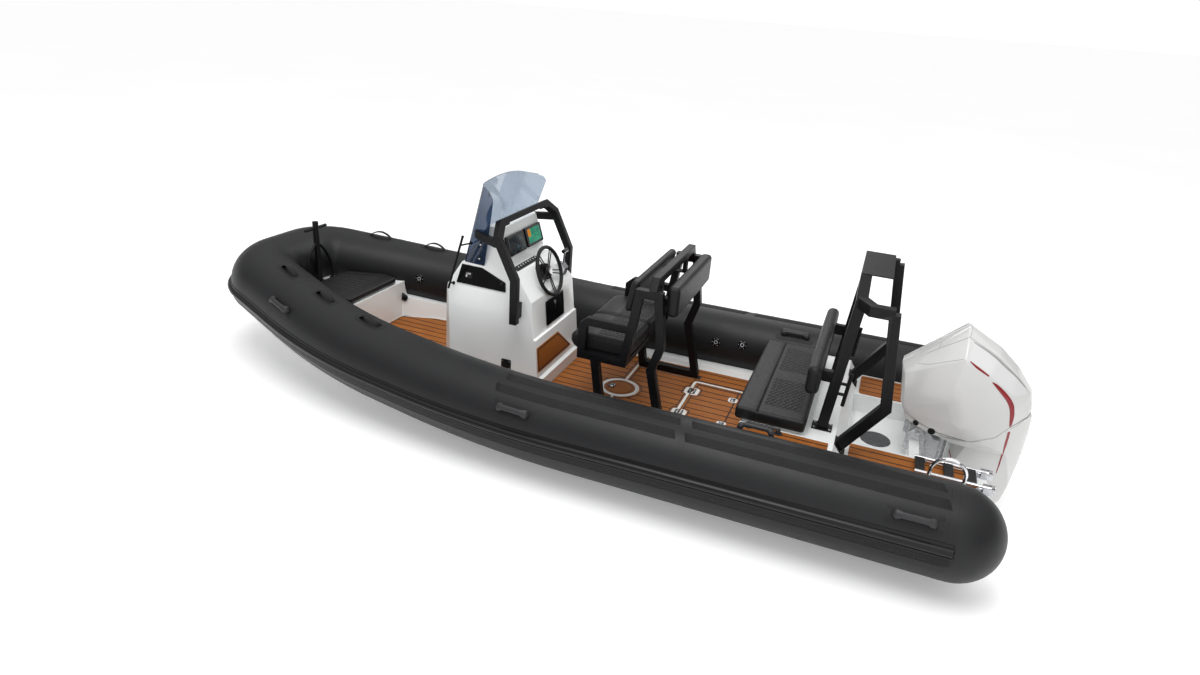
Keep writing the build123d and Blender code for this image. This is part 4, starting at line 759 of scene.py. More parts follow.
def curved_patch(s, angle, length, width, corner=22.0):
    """Rounded patch glued to the tube, as rings from its edge inward."""
    outline = np.array(round_rect(length, width, corner, 5))
    rings = [(1.0, -0.6), (0.995, 0.98), (0.975, 1.4), (0.6, 1.4), (0.25, 1.4)]      # share of the outline, lift
    n = len(outline)
    verts = [TUBE.skin(s + outline[:, 0] * k, angle + np.degrees(outline[:, 1] * k / TUBE_R), np.full(n, h)) * MM
             for k, h in rings]
    return np.concatenate(verts), grid_faces(len(rings), n, True) + end_faces(len(rings) * n, n)[1:]


CARRY = [(TUBE.station(x), a) for x, a in ((420.0, 36.0), (1330.0, 124.0), (2745.0, 36.0), (4770.0, 36.0))]
STRAPS = [(TUBE.station(x), 90.0) for x in (4080.0, 4560.0, 5020.0)]


def carry_handle(bm, s, angle):
    """Moulded handle: two rounded feet on the tube and a thick grip bar carried between them."""
    o, nrm, run = skin_frame(s, angle)
    f = basis(nrm, run)
    rows, sides = 45, 20
    rings = []
    for i in range(rows):
        u = -1 + 2 * i / (rows - 1)
        foot = min(1.0, max(0.0, (abs(u) - 0.55) / 0.22))
        foot = foot * foot * (3 - 2 * foot)
        end = max(0.0, 1 - max(0.0, (abs(u) - 0.80) / 0.20) ** 2.0) ** 0.5
        half_w = 3.0 + (15.0 + 9.0 * foot) * end
        top = 10.0 + (36.0 - 4.0 * foot) * end
        low = 21.0 * (1 - foot) - 2.0
        ring = []
        for k in range(sides):
            turn = 2 * math.pi * k / sides
            c, sn = math.cos(turn), math.sin(turn)
            y = half_w * math.copysign(abs(c) ** 0.72, c)
            z = (top + low) / 2 + (top - low) / 2 * math.copysign(abs(sn) ** 0.72, sn)
            ring.append(bm.verts.new((o + f @ Vector((112 * u, y, z))) * MM))
        rings.append(ring)
    lofted(bm, rings, caps=True)


def strap_loop(bm, s, angle):
    """Webbing arched over the tube, its ends under a welded patch."""
    o, nrm, run = skin_frame(s, angle)
    f = basis(nrm, run)
    n = 36
    arch = [(92 * u, 1.5 + (44 * math.cos(u * math.pi / 2) ** 0.8 if abs(u) < 1 else 0.0))
            for u in (-1 + 2 * i / n for i in range(n + 1))]
    section = ((-18, -2.6), (-18.6, 0), (-18, 2.6), (0, 3.2), (18, 2.6), (18.6, 0), (18, -2.6), (0, -3.0))
    rings = []
    for i, (x, h) in enumerate(arch):
        a, b = arch[max(i - 1, 0)], arch[min(i + 1, n)]
        d = Vector((b[0] - a[0], 0, b[1] - a[1])).normalized()
        out = Vector((-d.z, 0, d.x))
        rings.append([bm.verts.new((o + f @ (Vector((x, y, h)) + out * t)) * MM) for y, t in section])
    lofted(bm, rings, caps=True)


patches = []
for name, mat, node, places, make, size in (
        ("moulded_handles", "grip", "carry_handles", CARRY, carry_handle, (292, 118)),
        ("webbing_handles", "strake", "strap_handles", STRAPS, strap_loop, (262, 92, 30))):
    bm = bmesh.new()
    for side in SIDES:
        for s, angle in places:
            make(bm, place_on(side, s), angle)
            patches.append(curved_patch(place_on(side, s), angle, *size))
    bm_piece(name, bm, mat, "boat", "strake_rubber", (node,), 50)
join_patches("handle_patches", patches, "patch", "tube_fabric")

# inflation valves on the tubes' inboard side
bm = bmesh.new()
for s, angle in ((1510.0, 160.0), (4430.0, 168.0), (TUBE.length - 1510, 160.0), (TUBE.length - 1720, 164.0),
                 (TUBE.length - 4430, 168.0)):
    o, nrm, run = skin_frame(s, angle)
    turned(bm, [(36, -1), (36, 3.0), (33, 5.0), (28, 5.2), (27, 9), (22, 11), (19, 7.5), (8, 7.5), (6, 10), (0, 10)],
           o, nrm, 36)
    turned(bm, [(16.0, 7.0), (15.0, 9.0), (10.5, 9.0), (9.5, 7.0)], o, nrm, 28, 1, close=False)
    for k in range(6):
        spot = o + basis(nrm, run) @ Vector((29 * math.cos(k * math.pi / 3), 29 * math.sin(k * math.pi / 3), 0))
        turned(bm, [(3.0, 4), (3.0, 6.6), (0, 7.4)], spot, nrm, 10, 1)
bm_piece("air_valves", bm, ["gloss", "silver"], "boat", "black_plastic", (), 30)


# ------------------------------------------------------------------ hull, decks and floor

def on_ladder_tread(c, nrm):
    return 1 if 418 < c.y < 557 else 0


def on_well_floor(c, nrm):
    return 1 if nrm.z > 0.9 and abs(c.z - 400) < 4 else 0


for row in (
        ("hull", "white", "hull_white", 6.0),
        ("deck_liner", "white", "hull_white", 5.0),
        ("stern_moulding", ["white", "grit"], "hull_white", 14.0, 4, 30.0, on_well_floor),
        ("foredeck", "white", "hull_white", 3.0),
        ("bow_lid", "white", "hull_white", 2.0),
        ("bench_lid", "white", "hull_white", 3.0),
        ("seat_pan", "frame", "black_tube", 2.0),
        ("bow_post", "frame", "black_tube", 2.0, 2),
        ("bow_eye", "steel", "steel", 2.0),
        ("floor_mat", "teak", "deck_mat", 1.0, 2),
        ("floor_hatch", "teak", "deck_mat", 2.0, 2),
        ("side_mat", "teak_small", "deck_mat", 1.0, 2),
        ("platform_mats", "teak_small", "deck_mat", 1.0, 2),
        ("ledge_handle", "grip", "black_plastic", 2.0),
        ("grab_hoop", "chrome", "chrome", 0.0),
        ("ladder_hinge", "steel", "steel", 1.0, 2),
        ("boarding_ladder", ["chrome", "plastic"], "chrome", 2.0, 2, 30.0, on_ladder_tread)):
    dress(*row)

FLOOR_Z = 196.0                           # top of the cockpit floor


def ribbon(bm, points, width, z, thick, closed=False):
    """A flat line laid on a deck along points (x, y), mitred."""
    pts = [Vector((p[0], p[1])) for p in points]
    n = len(pts)
    rows = []
    for i, p in enumerate(pts):
        a = pts[i - 1] if (closed or i) else None
        b = pts[(i + 1) % n] if (closed or i < n - 1) else None
        d0 = (p - a).normalized() if a is not None else (b - p).normalized()
        d1 = (b - p).normalized() if b is not None else d0
        across = Vector((-(d0.y + d1.y), d0.x + d1.x))
        across.normalize()
        across *= width / 2 / max(0.3, across.dot(Vector((-d0.y, d0.x))))
        rows.append([bm.verts.new(((p.x + across.x * k) * MM, (p.y + across.y * k) * MM, (z + h) * MM))
                     for k, h in ((1, -0.3), (1, thick), (-1, thick), (-1, -0.3))])
    lofted(bm, rows + rows[:1] if closed else rows, 0, False, caps=not closed)


def floor_piece(name, mat, body, runs):
    """Lines on the floor, each (points, width, thickness) and, if need be, whether closed and its foot's height."""
    bm = bmesh.new()
    for points, width, thick, *more in runs:
        closed, z = (more + [False, FLOOR_Z][len(more):])
        ribbon(bm, points, width, z, thick, closed)
    bm_piece(name, bm, mat, body, "deck_mat", (), 30)


def ring_points(r, n=72):
    """Closed outline round the deck plate."""
    return [(2460 + r * math.cos(2 * math.pi * i / n), r * math.sin(2 * math.pi * i / n)) for i in range(n)]


# the fuel hatch's hinges over its forward edge and its pulls, by x and y, and where the hinges' leaves part
HINGES = [(1954, -209), (1954, 161)]
HATCH_PULLS = [(1640, -214), (1640, 176)]
LEAF_AFT, PIN, LEAF_FORE = 1950.0, 1957.0, 1961.0


def hinge_border(fore):
    """Lines round the hinges' leaves ahead of the hatch's edge, or behind it."""
    return [(half([(x + u, y + v) for u, v in round_rect(134, 158, 34, 4)], LEAF_FORE if fore else LEAF_AFT, fore),
             8, 0.6) for x, y in HINGES]


def half(points, cut, fore):
    """Part of a rounded outline ahead of a cut across u, or behind it, as a run that starts and ends on the cut."""
    keep = [(p[0] > cut) == fore for p in points]
    if all(keep) or not any(keep):
        return list(points) if all(keep) else []
    n = len(points)
    i = next(i for i in range(n) if keep[i] and not keep[i - 1])

    def crossing(a, b):
        return (cut, a[1] + (b[1] - a[1]) * (cut - a[0]) / (b[0] - a[0]))
    run = [crossing(points[i - 1], points[i])]
    while keep[i % n]:
        run.append(points[i % n])
        i += 1
    return run + [crossing(points[(i - 1) % n], points[i % n])]


def hatch_run(grow, aft, r=None):
    """Line round the fuel hatch's front and sides, grown, running aft to a station."""
    r = r or max(6.0, 30.0 + grow)
    x, y = 1962.0 + grow, 372.0 + grow
    turn = [(x - r + r * math.sin(a), y - r + r * math.cos(a)) for a in (k * math.pi / 12 for k in range(7))]
    return [(aft, y)] + turn + [(u, -v) for u, v in reversed(turn)] + [(aft, -y)]


MARGIN = [(1480, 648), (3000, 640), (4350, 470), (4615, 352)]
floor_piece("floor_lines", "line", "boat", [(hatch_run(8, 1483, 20.0), 19, 1.0), (ring_points(141), 10, 1.0, True)]
            + [([(2460, 145 * k), (2460, 628 * k)], 17, 1.0) for k in SIDES])
floor_piece("mat_joints", "seam_grey", "boat",
            [([(x0, 412 * k), (x1, 412 * k)], 6, 0.7) for k in SIDES for x0, x1 in ((1995, 2432), (2488, 2962))])
floor_piece("floor_caulk", "caulk", "boat",
            [([(2460 + dx, 640 * k), (2460 + dx, 163 * k)], 8, 0.5) for k in SIDES for dx in (-27, 27)]
            + [([(x, y * k) for x, y in MARGIN], 8, 0.5) for k in SIDES]
            + [([(1946, 465 * k), (1976, 465 * k)], 62, 2.6, False, FLOOR_Z - 3) for k in SIDES]
            + [(ring_points(164), 8, 0.6, True), (hatch_run(31, 1500), 8, 0.5),
               ([(1620.5, -372), (1620.5, 372)], 7, 3.0, False, FLOOR_Z - 3),
               ([(1618, -347), (1500, -347), (1500, 347), (1618, 347)], 8, 0.5),
               ([(1482, 648), (1482, -648)], 6, 0.5), ([(4615, 352), (4615, -352)], 6, 0.5)] + hinge_border(True))
floor_piece("hatch_caulk", "caulk", "fuel_hatch", [(hatch_run(-25, 1626), 8, 0.5)] + hinge_border(False))
floor_piece("plate_caulk", "caulk", "boat", [(ring_points(96, 60), 5, 0.8, True, 197.4)])

# round deck plate: teak disc in a white ring
bm = bmesh.new()
for profile, steps, index in (([(134, -1), (134, 6.6), (131, 8.6), (120, 8.6), (118.5, 7.4)], 72, 0),
                              ([(0, -1), (0, 7.4)], 3, 0),
                              ([(0, 7.5), (112, 7.5), (115, 6.8), (115, 3.0)], 72, 1),
                              ([(118, 3.0), (118, 3.1), (0, 3.1)], 72, 2)):
    turned(bm, profile, (2460, 0, 190), UPWARD, steps, index, close=False)
bm_piece("round_deck_plate", bm, ["white", "teak_plain", "caulk"], "boat", "hull_white", ("round_hatch",), 30)


def lobed(w, h, r, bulge):
    """A rounded rectangle whose sides swell in the middle, for a latch surround."""
    out = []
    for u, v in round_rect(w, h, r, 5):
        k = bulge * (1 - min(1.0, abs(v) / (h / 2)) ** 2)
        out.append((u + math.copysign(k, u) if abs(u) > w / 2 - r else u, v))
    return out


def latch(bm, x, y, z, k=1.0, surround=True, cut=None, fore=True):
    """Flush fitting on a deck, k times full size: a white surround, a dark well, chrome bars and a lock.
    With a cut it is one leaf of a hinge: the part ahead of the cut, or the part behind it."""
    def plate(outline, dy, top, index, inset=0.8):
        if cut is not None:
            outline = half(outline, cut - x, fore)
        if outline:
            slab(bm, outline, (x, y + dy * k, z), UPWARD, AHEAD, top, index, inset)
    if surround:
        plate(lobed(96 * k, 118 * k, 26 * k, 9 * k), 0, 2.6, 0, 1.0)
    plate(round_rect(58 * k, 88 * k, 8 * k), 0, 4.2, 1)
    for dy in (-26, -9, 8):
        plate(round_rect(44 * k, 6 * k, 2.5 * k), dy, 5.4, 2)
    plate(round_rect(26 * k, 16 * k, 6 * k), 27, 6.0, 2)


LATCH_MATS = ["line", "plastic", "chrome"]
bm = bmesh.new()
for x, y in HATCH_PULLS:
    latch(bm, x, y, FLOOR_Z, 0.62)
for x, y in HINGES:
    latch(bm, x, y, FLOOR_Z, cut=LEAF_AFT, fore=False)
    turned(bm, [(0, -42), (2.4, -42), (3.0, -41), (3.0, 41), (2.4, 42), (0, 42)], (PIN, y, FLOOR_Z), ACROSS, 16, 1)
bm_piece("hatch_latches", bm, LATCH_MATS, "fuel_hatch", "black_plastic", (), 35)
bm = bmesh.new()
for x, y in HINGES:
    latch(bm, x, y, FLOOR_Z, cut=LEAF_FORE)
bm_piece("hinge_leaves", bm, LATCH_MATS, "boat", "black_plastic", (), 35)
bm = bmesh.new()
latch(bm, 2520, 0, FLOOR_Z + 1.6, 0.78, False)
bm_piece("plate_latch", bm, LATCH_MATS, "boat", "black_plastic", (), 35)


# ------------------------------------------------------------------ cushions

QUILT_CELL = 30.0                         # width across a stitched cell's flats
BACK_HALF = 436                           # half the width of the seats' backs


def hex_cells(x, y, size):
    """Distance to the nearest cell edge of a honeycomb with a width across flats."""
    r3 = math.sqrt(3.0)
    sx, sy = size, size * r3
    best = np.full(x.shape, 1e9)
    bx, by = np.zeros(x.shape), np.zeros(x.shape)
    for ox, oy in ((0, 0), (sx / 2, sy / 2)):
        dx = x - ox - np.round((x - ox) / sx) * sx
        dy = y - oy - np.round((y - oy) / sy) * sy
        d = dx * dx + dy * dy
        m = d < best
        best = np.where(m, d, best)
        bx, by = np.where(m, dx, bx), np.where(m, dy, by)
    return size / 2 - np.maximum(np.abs(bx), np.abs(bx) * 0.5 + np.abs(by) * r3 / 2)


def groove(d, width, depth):
    return -depth * np.exp(-(d / width) ** 2)


def cushion(name, lo, hi, radius, body, node, pattern=None, crown=5.0, cell=8.0, matrix=None, warp=None,
            belly=2.5, mats="vinyl"):
    """A stuffed pad: a rounded block, crowned on top, its sides easing in towards the corners."""
    lo, hi = np.array(lo, float), np.array(hi, float)
    size = hi - lo
    verts, index, faces = [], {}, []

    def vid(p):
        key = tuple(np.round(p, 3))
        if key not in index:
            index[key] = len(verts)
            verts.append(p)
        return index[key]

    def ticks(axis):
        step = cell if axis < 2 else max(cell, 10.0)
        n = max(3, int(round((size[axis] - 2 * radius) / step)))
        mid = np.linspace(lo[axis] + radius, hi[axis] - radius, n + 1)
        k = max(2, int(radius / 6))
        ease = [radius * (1 - math.tan(math.pi / 4 * (1 - i / k))) for i in range(k)]
        return np.concatenate([[lo[axis] + e for e in ease], mid, [hi[axis] - e for e in reversed(ease)]])
    grids = [ticks(a) for a in range(3)]
    for axis in range(3):
        a, b = [i for i in range(3) if i != axis]
        for end in (lo[axis], hi[axis]):
            ids = np.zeros((len(grids[a]), len(grids[b])), int)
            for i, u in enumerate(grids[a]):
                for j, v in enumerate(grids[b]):
                    p = np.zeros(3)
                    p[axis], p[a], p[b] = end, u, v
                    ids[i, j] = vid(p)
            for i in range(ids.shape[0] - 1):
                for j in range(ids.shape[1] - 1):
                    faces.append((ids[i, j], ids[i + 1, j], ids[i + 1, j + 1], ids[i, j + 1]))
    p = np.array(verts)
    u, v, w = ((p - lo) / size * 2 - 1).T
    q = np.clip(p, lo + radius, hi - radius)
    nrm = (p - q) / np.maximum(np.linalg.norm(p - q, axis=1, keepdims=True), 1e-9)
    p = q + nrm * radius
    p[:, 2] += np.clip(nrm[:, 2], 0, 1) * crown * ((1 - u ** 4) * (1 - v ** 4) - 1)
    side = np.clip(1 - np.abs(nrm[:, 2]), 0, 1)
    for axis, along in ((0, v), (1, u)):
        p[:, axis] += nrm[:, axis] * side * belly * (0.1 - w ** 2 - 0.35 * along ** 2)
    if pattern is not None:
        p[:, 2] += pattern(p[:, 0], p[:, 1]) * np.clip((nrm[:, 2] - 0.15) / 0.6, 0, 1)
    if warp is not None:
        p = warp(p)
    if matrix is not None:
        m = np.array(matrix)
        p = p @ m[:3, :3].T + m[:3, 3]
    obj = mesh_piece(name, p * MM, faces, mats, body, "vinyl", (node,) if node else (), 60)


def quilt(x, y, areas):
    """Honeycomb stitching inside rectangles (x0, x1, y0, y1), fading at their edges."""
    h = np.zeros(x.shape)
    for x0, x1, y0, y1 in areas:
        e = np.maximum(hex_cells(x - x0, y - y0, QUILT_CELL), 0)
        inside = np.minimum(np.minimum(x - x0, x1 - x), np.minimum(y - y0, y1 - y))
        fade = np.clip(inside / 5.0 + 0.5, 0, 1)
        h += fade * (groove(e, 2.8, 2.6) + 2.2 * (1 - np.exp(-e / 5.0)))
    return h


# bow pad: fore-and-aft channels behind a smooth after band, tapering with the tubes
def bow_warp(p):
    p = p.copy()
    p[:, 1] *= np.interp(p[:, 0], [4650, 4790, 5118], [300.0, 343.5, 232.0]) / 300.0
    return p


def bow_pattern(x, y):
    ch = np.abs(((y + 22.5) / 45.0) - np.round((y + 22.5) / 45.0)) * 45.0
    run = np.clip((x - 4762) / 6, 0, 1) * np.clip((5100 - x) / 8, 0, 1)
    h = run * (groove(ch, 4.0, 4.5) + 2.0 * np.cos(np.clip(ch / 22.5, 0, 1) * math.pi + math.pi) * 0.5)
    return h + groove(x - 4756, 4.0, 4.5) + groove(x - 5104, 4.0, 2.0)


cushion("bow_pad", (4650, -300, 512), (5118, 300, 562), 16, "bow_locker_lid", "bow_cushion", bow_pattern, 3.0, 7.0,
        warp=bow_warp, belly=1.5)


# helm seat: two pads side by side with a rolled front
def helm_warp(p):
    p = p.copy()
    z = (p[:, 2] - 645.0) / 130.0
    front = np.clip((p[:, 0] - 2560) / 148, 0, 1)
    p[:, 2] -= front ** 2.2 * 20 * z
    p[:, 0] -= np.clip(1 - z * 2.2, 0, 1) * front * 34
    p[:, 2] -= np.clip((2340 - p[:, 0]) / 60, 0, 1) * 6 * z
    return p


def quilt_mat(name, areas):
    M[name] = quilted("vinyl_" + name, [tuple(v * MM for v in a) for a in areas], QUILT_CELL * MM)
    return name


for name, node, y0, y1 in (("helm_seat_port", "seat_cushion", 4.0, 434.0),
                           ("helm_seat_starboard", None, -434.0, -4.0)):
    area = (2312, 2505, y0 + 52, y1 - 52)

    def helm_pattern(x, y, area=area):
        h = quilt(x, y, [area]) + groove(x - 2520, 4.5, 5.0) + 2.0 * np.clip((x - 2525) / 30, 0, 1)
        for line in (area[2] - 8, area[3] + 8):
            h += groove(y - line, 3.5, 2.6) * np.clip((2520 - x) / 10, 0, 1)
        return h
    cushion(name, (2275, y0, 645), (2708, y1, 775), 34, "boat", node, helm_pattern, 6.0, 4.2, warp=helm_warp,
            mats=quilt_mat("quilt_" + name, [area]))


def back_pad(name, node, foot, head, thick, radius, face=1):
    """A pad that stands up from foot to head (x, z), its face ahead, or aft when face is -1."""
    rise = Vector((head[0] - foot[0], 0, head[1] - foot[1]))
    up = rise.normalized()
    out = Vector((up.z, 0, -up.x)) * face
    m = Matrix((up, out.cross(up), out)).transposed().to_4x4()
    m.translation = (foot[0], 0, foot[1])
    cushion(name, (0, -BACK_HALF, 0), (rise.length, BACK_HALF, thick), radius, "boat", node, None, 3.0, 9.0, m,
            belly=1.5)


back_pad("helm_backrest", "backrest_front", (2285, 985), (2245, 1200), 59, 26)
back_pad("after_bolster", "backrest_rear", (2060, 1006), (2060, 1212), 84, 30, -1)

# stern bench cushion
BENCH_QUILT = [(1118, 1340, 70, 490), (1118, 1340, -490, -70)]


def bench_pattern(x, y):
    return quilt(x, y, BENCH_QUILT) + groove(x - 1364, 4.5, 6.0) + 2.5 * np.clip((x - 1368) / 26, 0, 1)


cushion("bench_pad", (1066, -600, 500), (1502, 600, 590), 24, "stern_locker_lid", "stern_cushion", bench_pattern,
        6.0, 4.4, mats=quilt_mat("quilt_bench", BENCH_QUILT))
# backrest roll on the arch
cushion("arch_roll", (755, -577, 0), (940, 577, 84), 38, "boat", "stern_backrest", None, 2.0, 10.0,
        Matrix(((0, 0, 1, 1035.4), (0, 1, 0, 0), (1, 0, 0, 0), (0, 0, 0, 1))), belly=0.5)


# ------------------------------------------------------------------ films and lines laid on a skin

SKIN = {}


def keep_skin(name, node):
    """Keep a dressed node's surface, for what is laid on it."""
    SKIN[name] = BVHTree.FromObject(bpy.data.objects[node + "_skin"], bpy.context.evaluated_depsgraph_get())


def snapped(skin, p):
    """The skin's nearest point in mm, and its outward normal."""
    q, nrm, _, _ = SKIN[skin].find_nearest(p * MM)
    return q / MM, nrm


def through(points, n):
    """Evenly spaced points on a smooth curve through the given ones."""
    fine = curve(points, 12)
    run = [0.0]
    for a, b in zip(fine, fine[1:]):
        run.append(run[-1] + (b - a).length)
    out, j = [], 0
    for k in range(n):
        d = run[-1] * k / (n - 1)
        while j < len(run) - 2 and run[j + 1] < d:
            j += 1
        out.append(fine[j].lerp(fine[j + 1], (d - run[j]) / max(run[j + 1] - run[j], 1e-9)))
    return out


def film(bm, skin, a, b, rows=6, n=36, lift=1.0, index=0):
    """Thin film on a skin between two curves, its rim sunk in the skin, on each side."""
    ends = list(zip(through(a, n), through(b, n)))
    for side in SIDES:
        grid = []
        for r in [0] + list(range(rows + 1)) + [rows]:
            outer = len(grid) in (0, rows + 2)
            line = []
            for k, (p, q) in enumerate(ends):
                v = p.lerp(q, r / rows)
                v.y *= side
                spot, nrm = snapped(skin, v)
                sunk = outer or k in (0, n - 1)
                line.append(bm.verts.new((spot + nrm * (-0.8 if sunk else lift)) * MM))
            grid.append(line)
        lofted(bm, grid, index, False)


def edge_line(bm, skin, points, width, lift, n, sides=SIDES):
    """Narrow line on a skin along a curve."""
    for side in sides:
        path = []
        for p in through(points, n):
            p.y *= side
            path.append(snapped(skin, p))
        rings = []
        for k, (q, nrm) in enumerate(path):
            run = (path[min(k + 1, n - 1)][0] - path[max(k - 1, 0)][0]).normalized()
            out = nrm.cross(run).normalized()
            rings.append([bm.verts.new((q + out * w * width / 2 + nrm * h) * MM)
                          for w, h in ((-1.0, -0.6), (-0.9, lift), (0.9, lift), (1.0, -0.6))])
        lofted(bm, rings, 0, False)


# ------------------------------------------------------------------ console

tint = M["acrylic"] = Mat("tinted_acrylic", (0.30, 0.42, 0.56), 0.04, Transmission_Weight=0.85, IOR=1.45)
# the port wing's tint is painted darker: painted shade standing in for looking at a slant through it and the front
# panel behind
painted_wing_shade = tint.xyz()[1].ramp(0.268, 0.285)
tint.color(tint.blend(painted_wing_shade, (0.42, 0.49, 0.58), (0.075, 0.125, 0.22)))
tint.vary_rough(0.03, 0.07, 6.0)


def on_lever(c, nrm):
    return 1 if 955 < c.z < 1085 else 0


for row in (
        ("console", "white", "hull_white", 12.0, 4, 22.0),
        ("windscreen", "acrylic", "screen", 1.5, 2, 40.0, None, 30),
        ("grab_rail", "frame", "black_tube", 5.0),
        ("glovebox_door", "gloss", "black_plastic", 4.0),
        ("side_hatch", "gloss", "black_plastic", 5.0),
        ("display_port", "gloss", "black_plastic", 3.0, 2),
        ("display_starboard", "gloss", "black_plastic", 3.0, 2),
        ("switch_panel", "plastic", "black_plastic", 1.5, 2),
        ("helm_unit", "plastic", "black_plastic", 4.0),
        ("throttle", ["plastic", "chrome"], "black_plastic", 4.0, 3, 30.0, on_lever),
        ("seat_frame", "frame", "black_tube", 4.0),
        ("arch", "frame", "black_tube", 5.0)):
    dress(*row)
for name, node in (("shell", "console"), ("glass", "windscreen"), ("glove", "glovebox_door"),
                   ("hatch", "side_hatch"), ("bulkhead", "deck_liner")):
    keep_skin(name, node)


def raised(bm, skin, corners, width, lift):
    """A raised lip on a skin along each side of an outline."""
    for p, q in zip(corners, corners[1:] + corners[:1]):
        edge_line(bm, skin, [p, q], width, lift, 24, (1,))


def button(bm, w, h, r, spot, nrm, along, thick, index=0, inset=1.5):
    """A small raised rectangle whose foot is sunk 1 mm."""
    slab(bm, round_rect(w, h, r), spot, nrm, along, thick, index, inset, -1.0)


# side locker's door: lip, pull latch and hinge cap
bm = bmesh.new()
raised(bm, "hatch", [(x, 340, z) for x, z in ((3268, 926), (3636, 926), (3622, 1024), (3470, 1022), (3284, 962))],
       9.0, 3.2)
bm_piece("side_door_lip", bm, "gloss", body_of("side_hatch"), "black_plastic", (), 40)
bm = bmesh.new()
q, nrm = snapped("hatch", Vector((3560, 333, 977)))
button(bm, 58, 44, 8, q, nrm, AHEAD, 3.0, 1, 1.0)
button(bm, 40, 14, 6, q + Vector((0, 0, 9)), nrm, AHEAD, 7.5)
button(bm, 13, 32, 6, q + Vector((14, 0, 0)), nrm, AHEAD, 6.5)
q, nrm = snapped("hatch", Vector((3294, 338, 962)))
turned(bm, [(11, -1), (11, 4), (8, 6), (0, 6)], q, nrm, 24, 1)
bm_piece("side_door_latch", bm, ["chrome", "plastic"], body_of("side_hatch"), "chrome", (), 35)

# glovebox door: lip and lock
lo, hi = [Vector(c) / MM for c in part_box("glovebox_door")]
bm = bmesh.new()
mid = (lo.x + hi.x) / 2
raised(bm, "glove", [(mid, y, z) for y, z in ((lo.y + 14, lo.z + 14), (hi.y - 14, lo.z + 14),
                                              (hi.y - 14, hi.z - 14), (lo.y + 14, hi.z - 14))], 6.0, 2.2)
bm_piece("glovebox_lip", bm, "gloss", body_of("glovebox_door"), "black_plastic", (), 40)
bm = bmesh.new()
q, nrm = snapped("glove", Vector((mid, (lo.y + hi.y) / 2 + 6, hi.z - 44)))
turned(bm, [(15, -1), (15, 2.5), (13, 4.2), (7, 4.2), (6, 3.4), (0, 3.4)], q, nrm, 28)
button(bm, 9, 34, 4, q + Vector((0, 0, -18)), nrm, ACROSS, 5.5)
bm_piece("glovebox_lock", bm, "chrome", body_of("glovebox_door"), "chrome", (), 35)

# screen bolts with their washers, the side fitting and the slim rail ahead of the screen
bm = bmesh.new()
for side in SIDES:
    for x, y, z in ((3472, 325, 1300), (3470, 321, 1215), (3489, 305, 1104)):
        q, nrm = snapped("glass", Vector((x, y * side, z)))
        if nrm.y * side < 0:
            nrm = -nrm
        turned(bm, [(13, -1), (13, 2.0), (11, 3.0), (7, 3.0)], q, nrm, 24, 1, close=False)
        turned(bm, [(8.5, 2.0), (8.5, 6.0), (6, 7.6), (0, 7.6)], q, nrm, 24, 0, close=False)
bm_piece("screen_bolts", bm, ["chrome", "plastic"], "boat", "chrome", (), 35)
bm = bmesh.new()
q, nrm = snapped("shell", Vector((3224, 376, 366)))
button(bm, 78, 76, 10, q, nrm, AHEAD, 5.0)
button(bm, 40, 34, 8, q + Vector((0, 0, -6)), nrm, AHEAD, 13.0, 0, 3.0)
for u in (-28, 28):
    for v in (-27, 27):
        turned(bm, [(5, 4), (5, 7), (0, 8)], q + Vector((u, 0, v)), nrm, 14, 1)
bm_piece("console_fitting", bm, ["plastic", "chrome"], "boat", "black_plastic", (), 35)
bm = bmesh.new()
top, foot = Vector((3570, 400, 1273)), Vector((3689, 400, 874))
pipe(bm, [top, foot], 8.5, 16)
turned(bm, [(9.5, -6), (10, 6), (8, 9), (0, 10)], top, (top - foot).normalized(), 18)
for f, skin in ((0.16, "glass"), (0.89, "shell")):
    p = top.lerp(foot, f)
    q, nrm = snapped(skin, p)
    pipe(bm, [p, q], 6.0, 12)
    turned(bm, [(12, -1), (12, 4), (10, 5), (0, 5)], q, (p - q).normalized(), 20)
bm_piece("slim_rail", bm, "frame", "boat", "black_tube", (), 35)

# bolts in the arch's foot plates, the bow bulkhead's latch and the cover in the well
bm = bmesh.new()
for side in SIDES:
    for x in (-48, 48):
        for y in (-37, 37):
            turned(bm, [(8, -1), (8, 3), (6, 5.5), (0, 6)], (975 + x, 412 * side + y, 493), UPWARD, 6)
bm_piece("arch_bolts", bm, "steel", "boat", "steel", (), 35)
bm = bmesh.new()
q, nrm = snapped("bulkhead", Vector((4650, -290, 385)))
button(bm, 56, 104, 22, q, nrm, ACROSS, 6.0, 0, 2.0)
button(bm, 34, 44, 8, q + Vector((0, 0, 16)), nrm, ACROSS, 9.0, 1)
bm_piece("bow_latch", bm, ["gloss", "grip"], "boat", "black_plastic", (), 35)
bm = bmesh.new()
turned(bm, [(99, -1), (99, 3), (95, 6), (84, 6), (82, 4.5), (40, 4.5), (38, 6), (12, 6), (0, 6)], (630, 0, 270),
       UPWARD, 56)
for k in range(8):
    a = k * math.pi / 4
    turned(bm, [(5, 5), (5, 7.5), (0, 8)], (630 + 90 * math.cos(a), 90 * math.sin(a), 270), UPWARD, 12, 1)
bm_piece("well_cover", bm, ["grey", "steel"], "boat", "black_plastic", (), 35)

# steering wheel: padded rim, dished hub and five paired spokes
RAKE = math.radians(20.0)
W_OUT = Vector((-math.cos(RAKE), 0, math.sin(RAKE)))
W_HUB = Vector((3077.0, 0.0, 1004.0))
W_BASIS = basis(W_OUT, ACROSS)


def wheel_point(r, angle, h):
    a = math.radians(angle)
    return W_HUB + W_BASIS @ Vector((r * math.cos(a), r * math.sin(a), h))


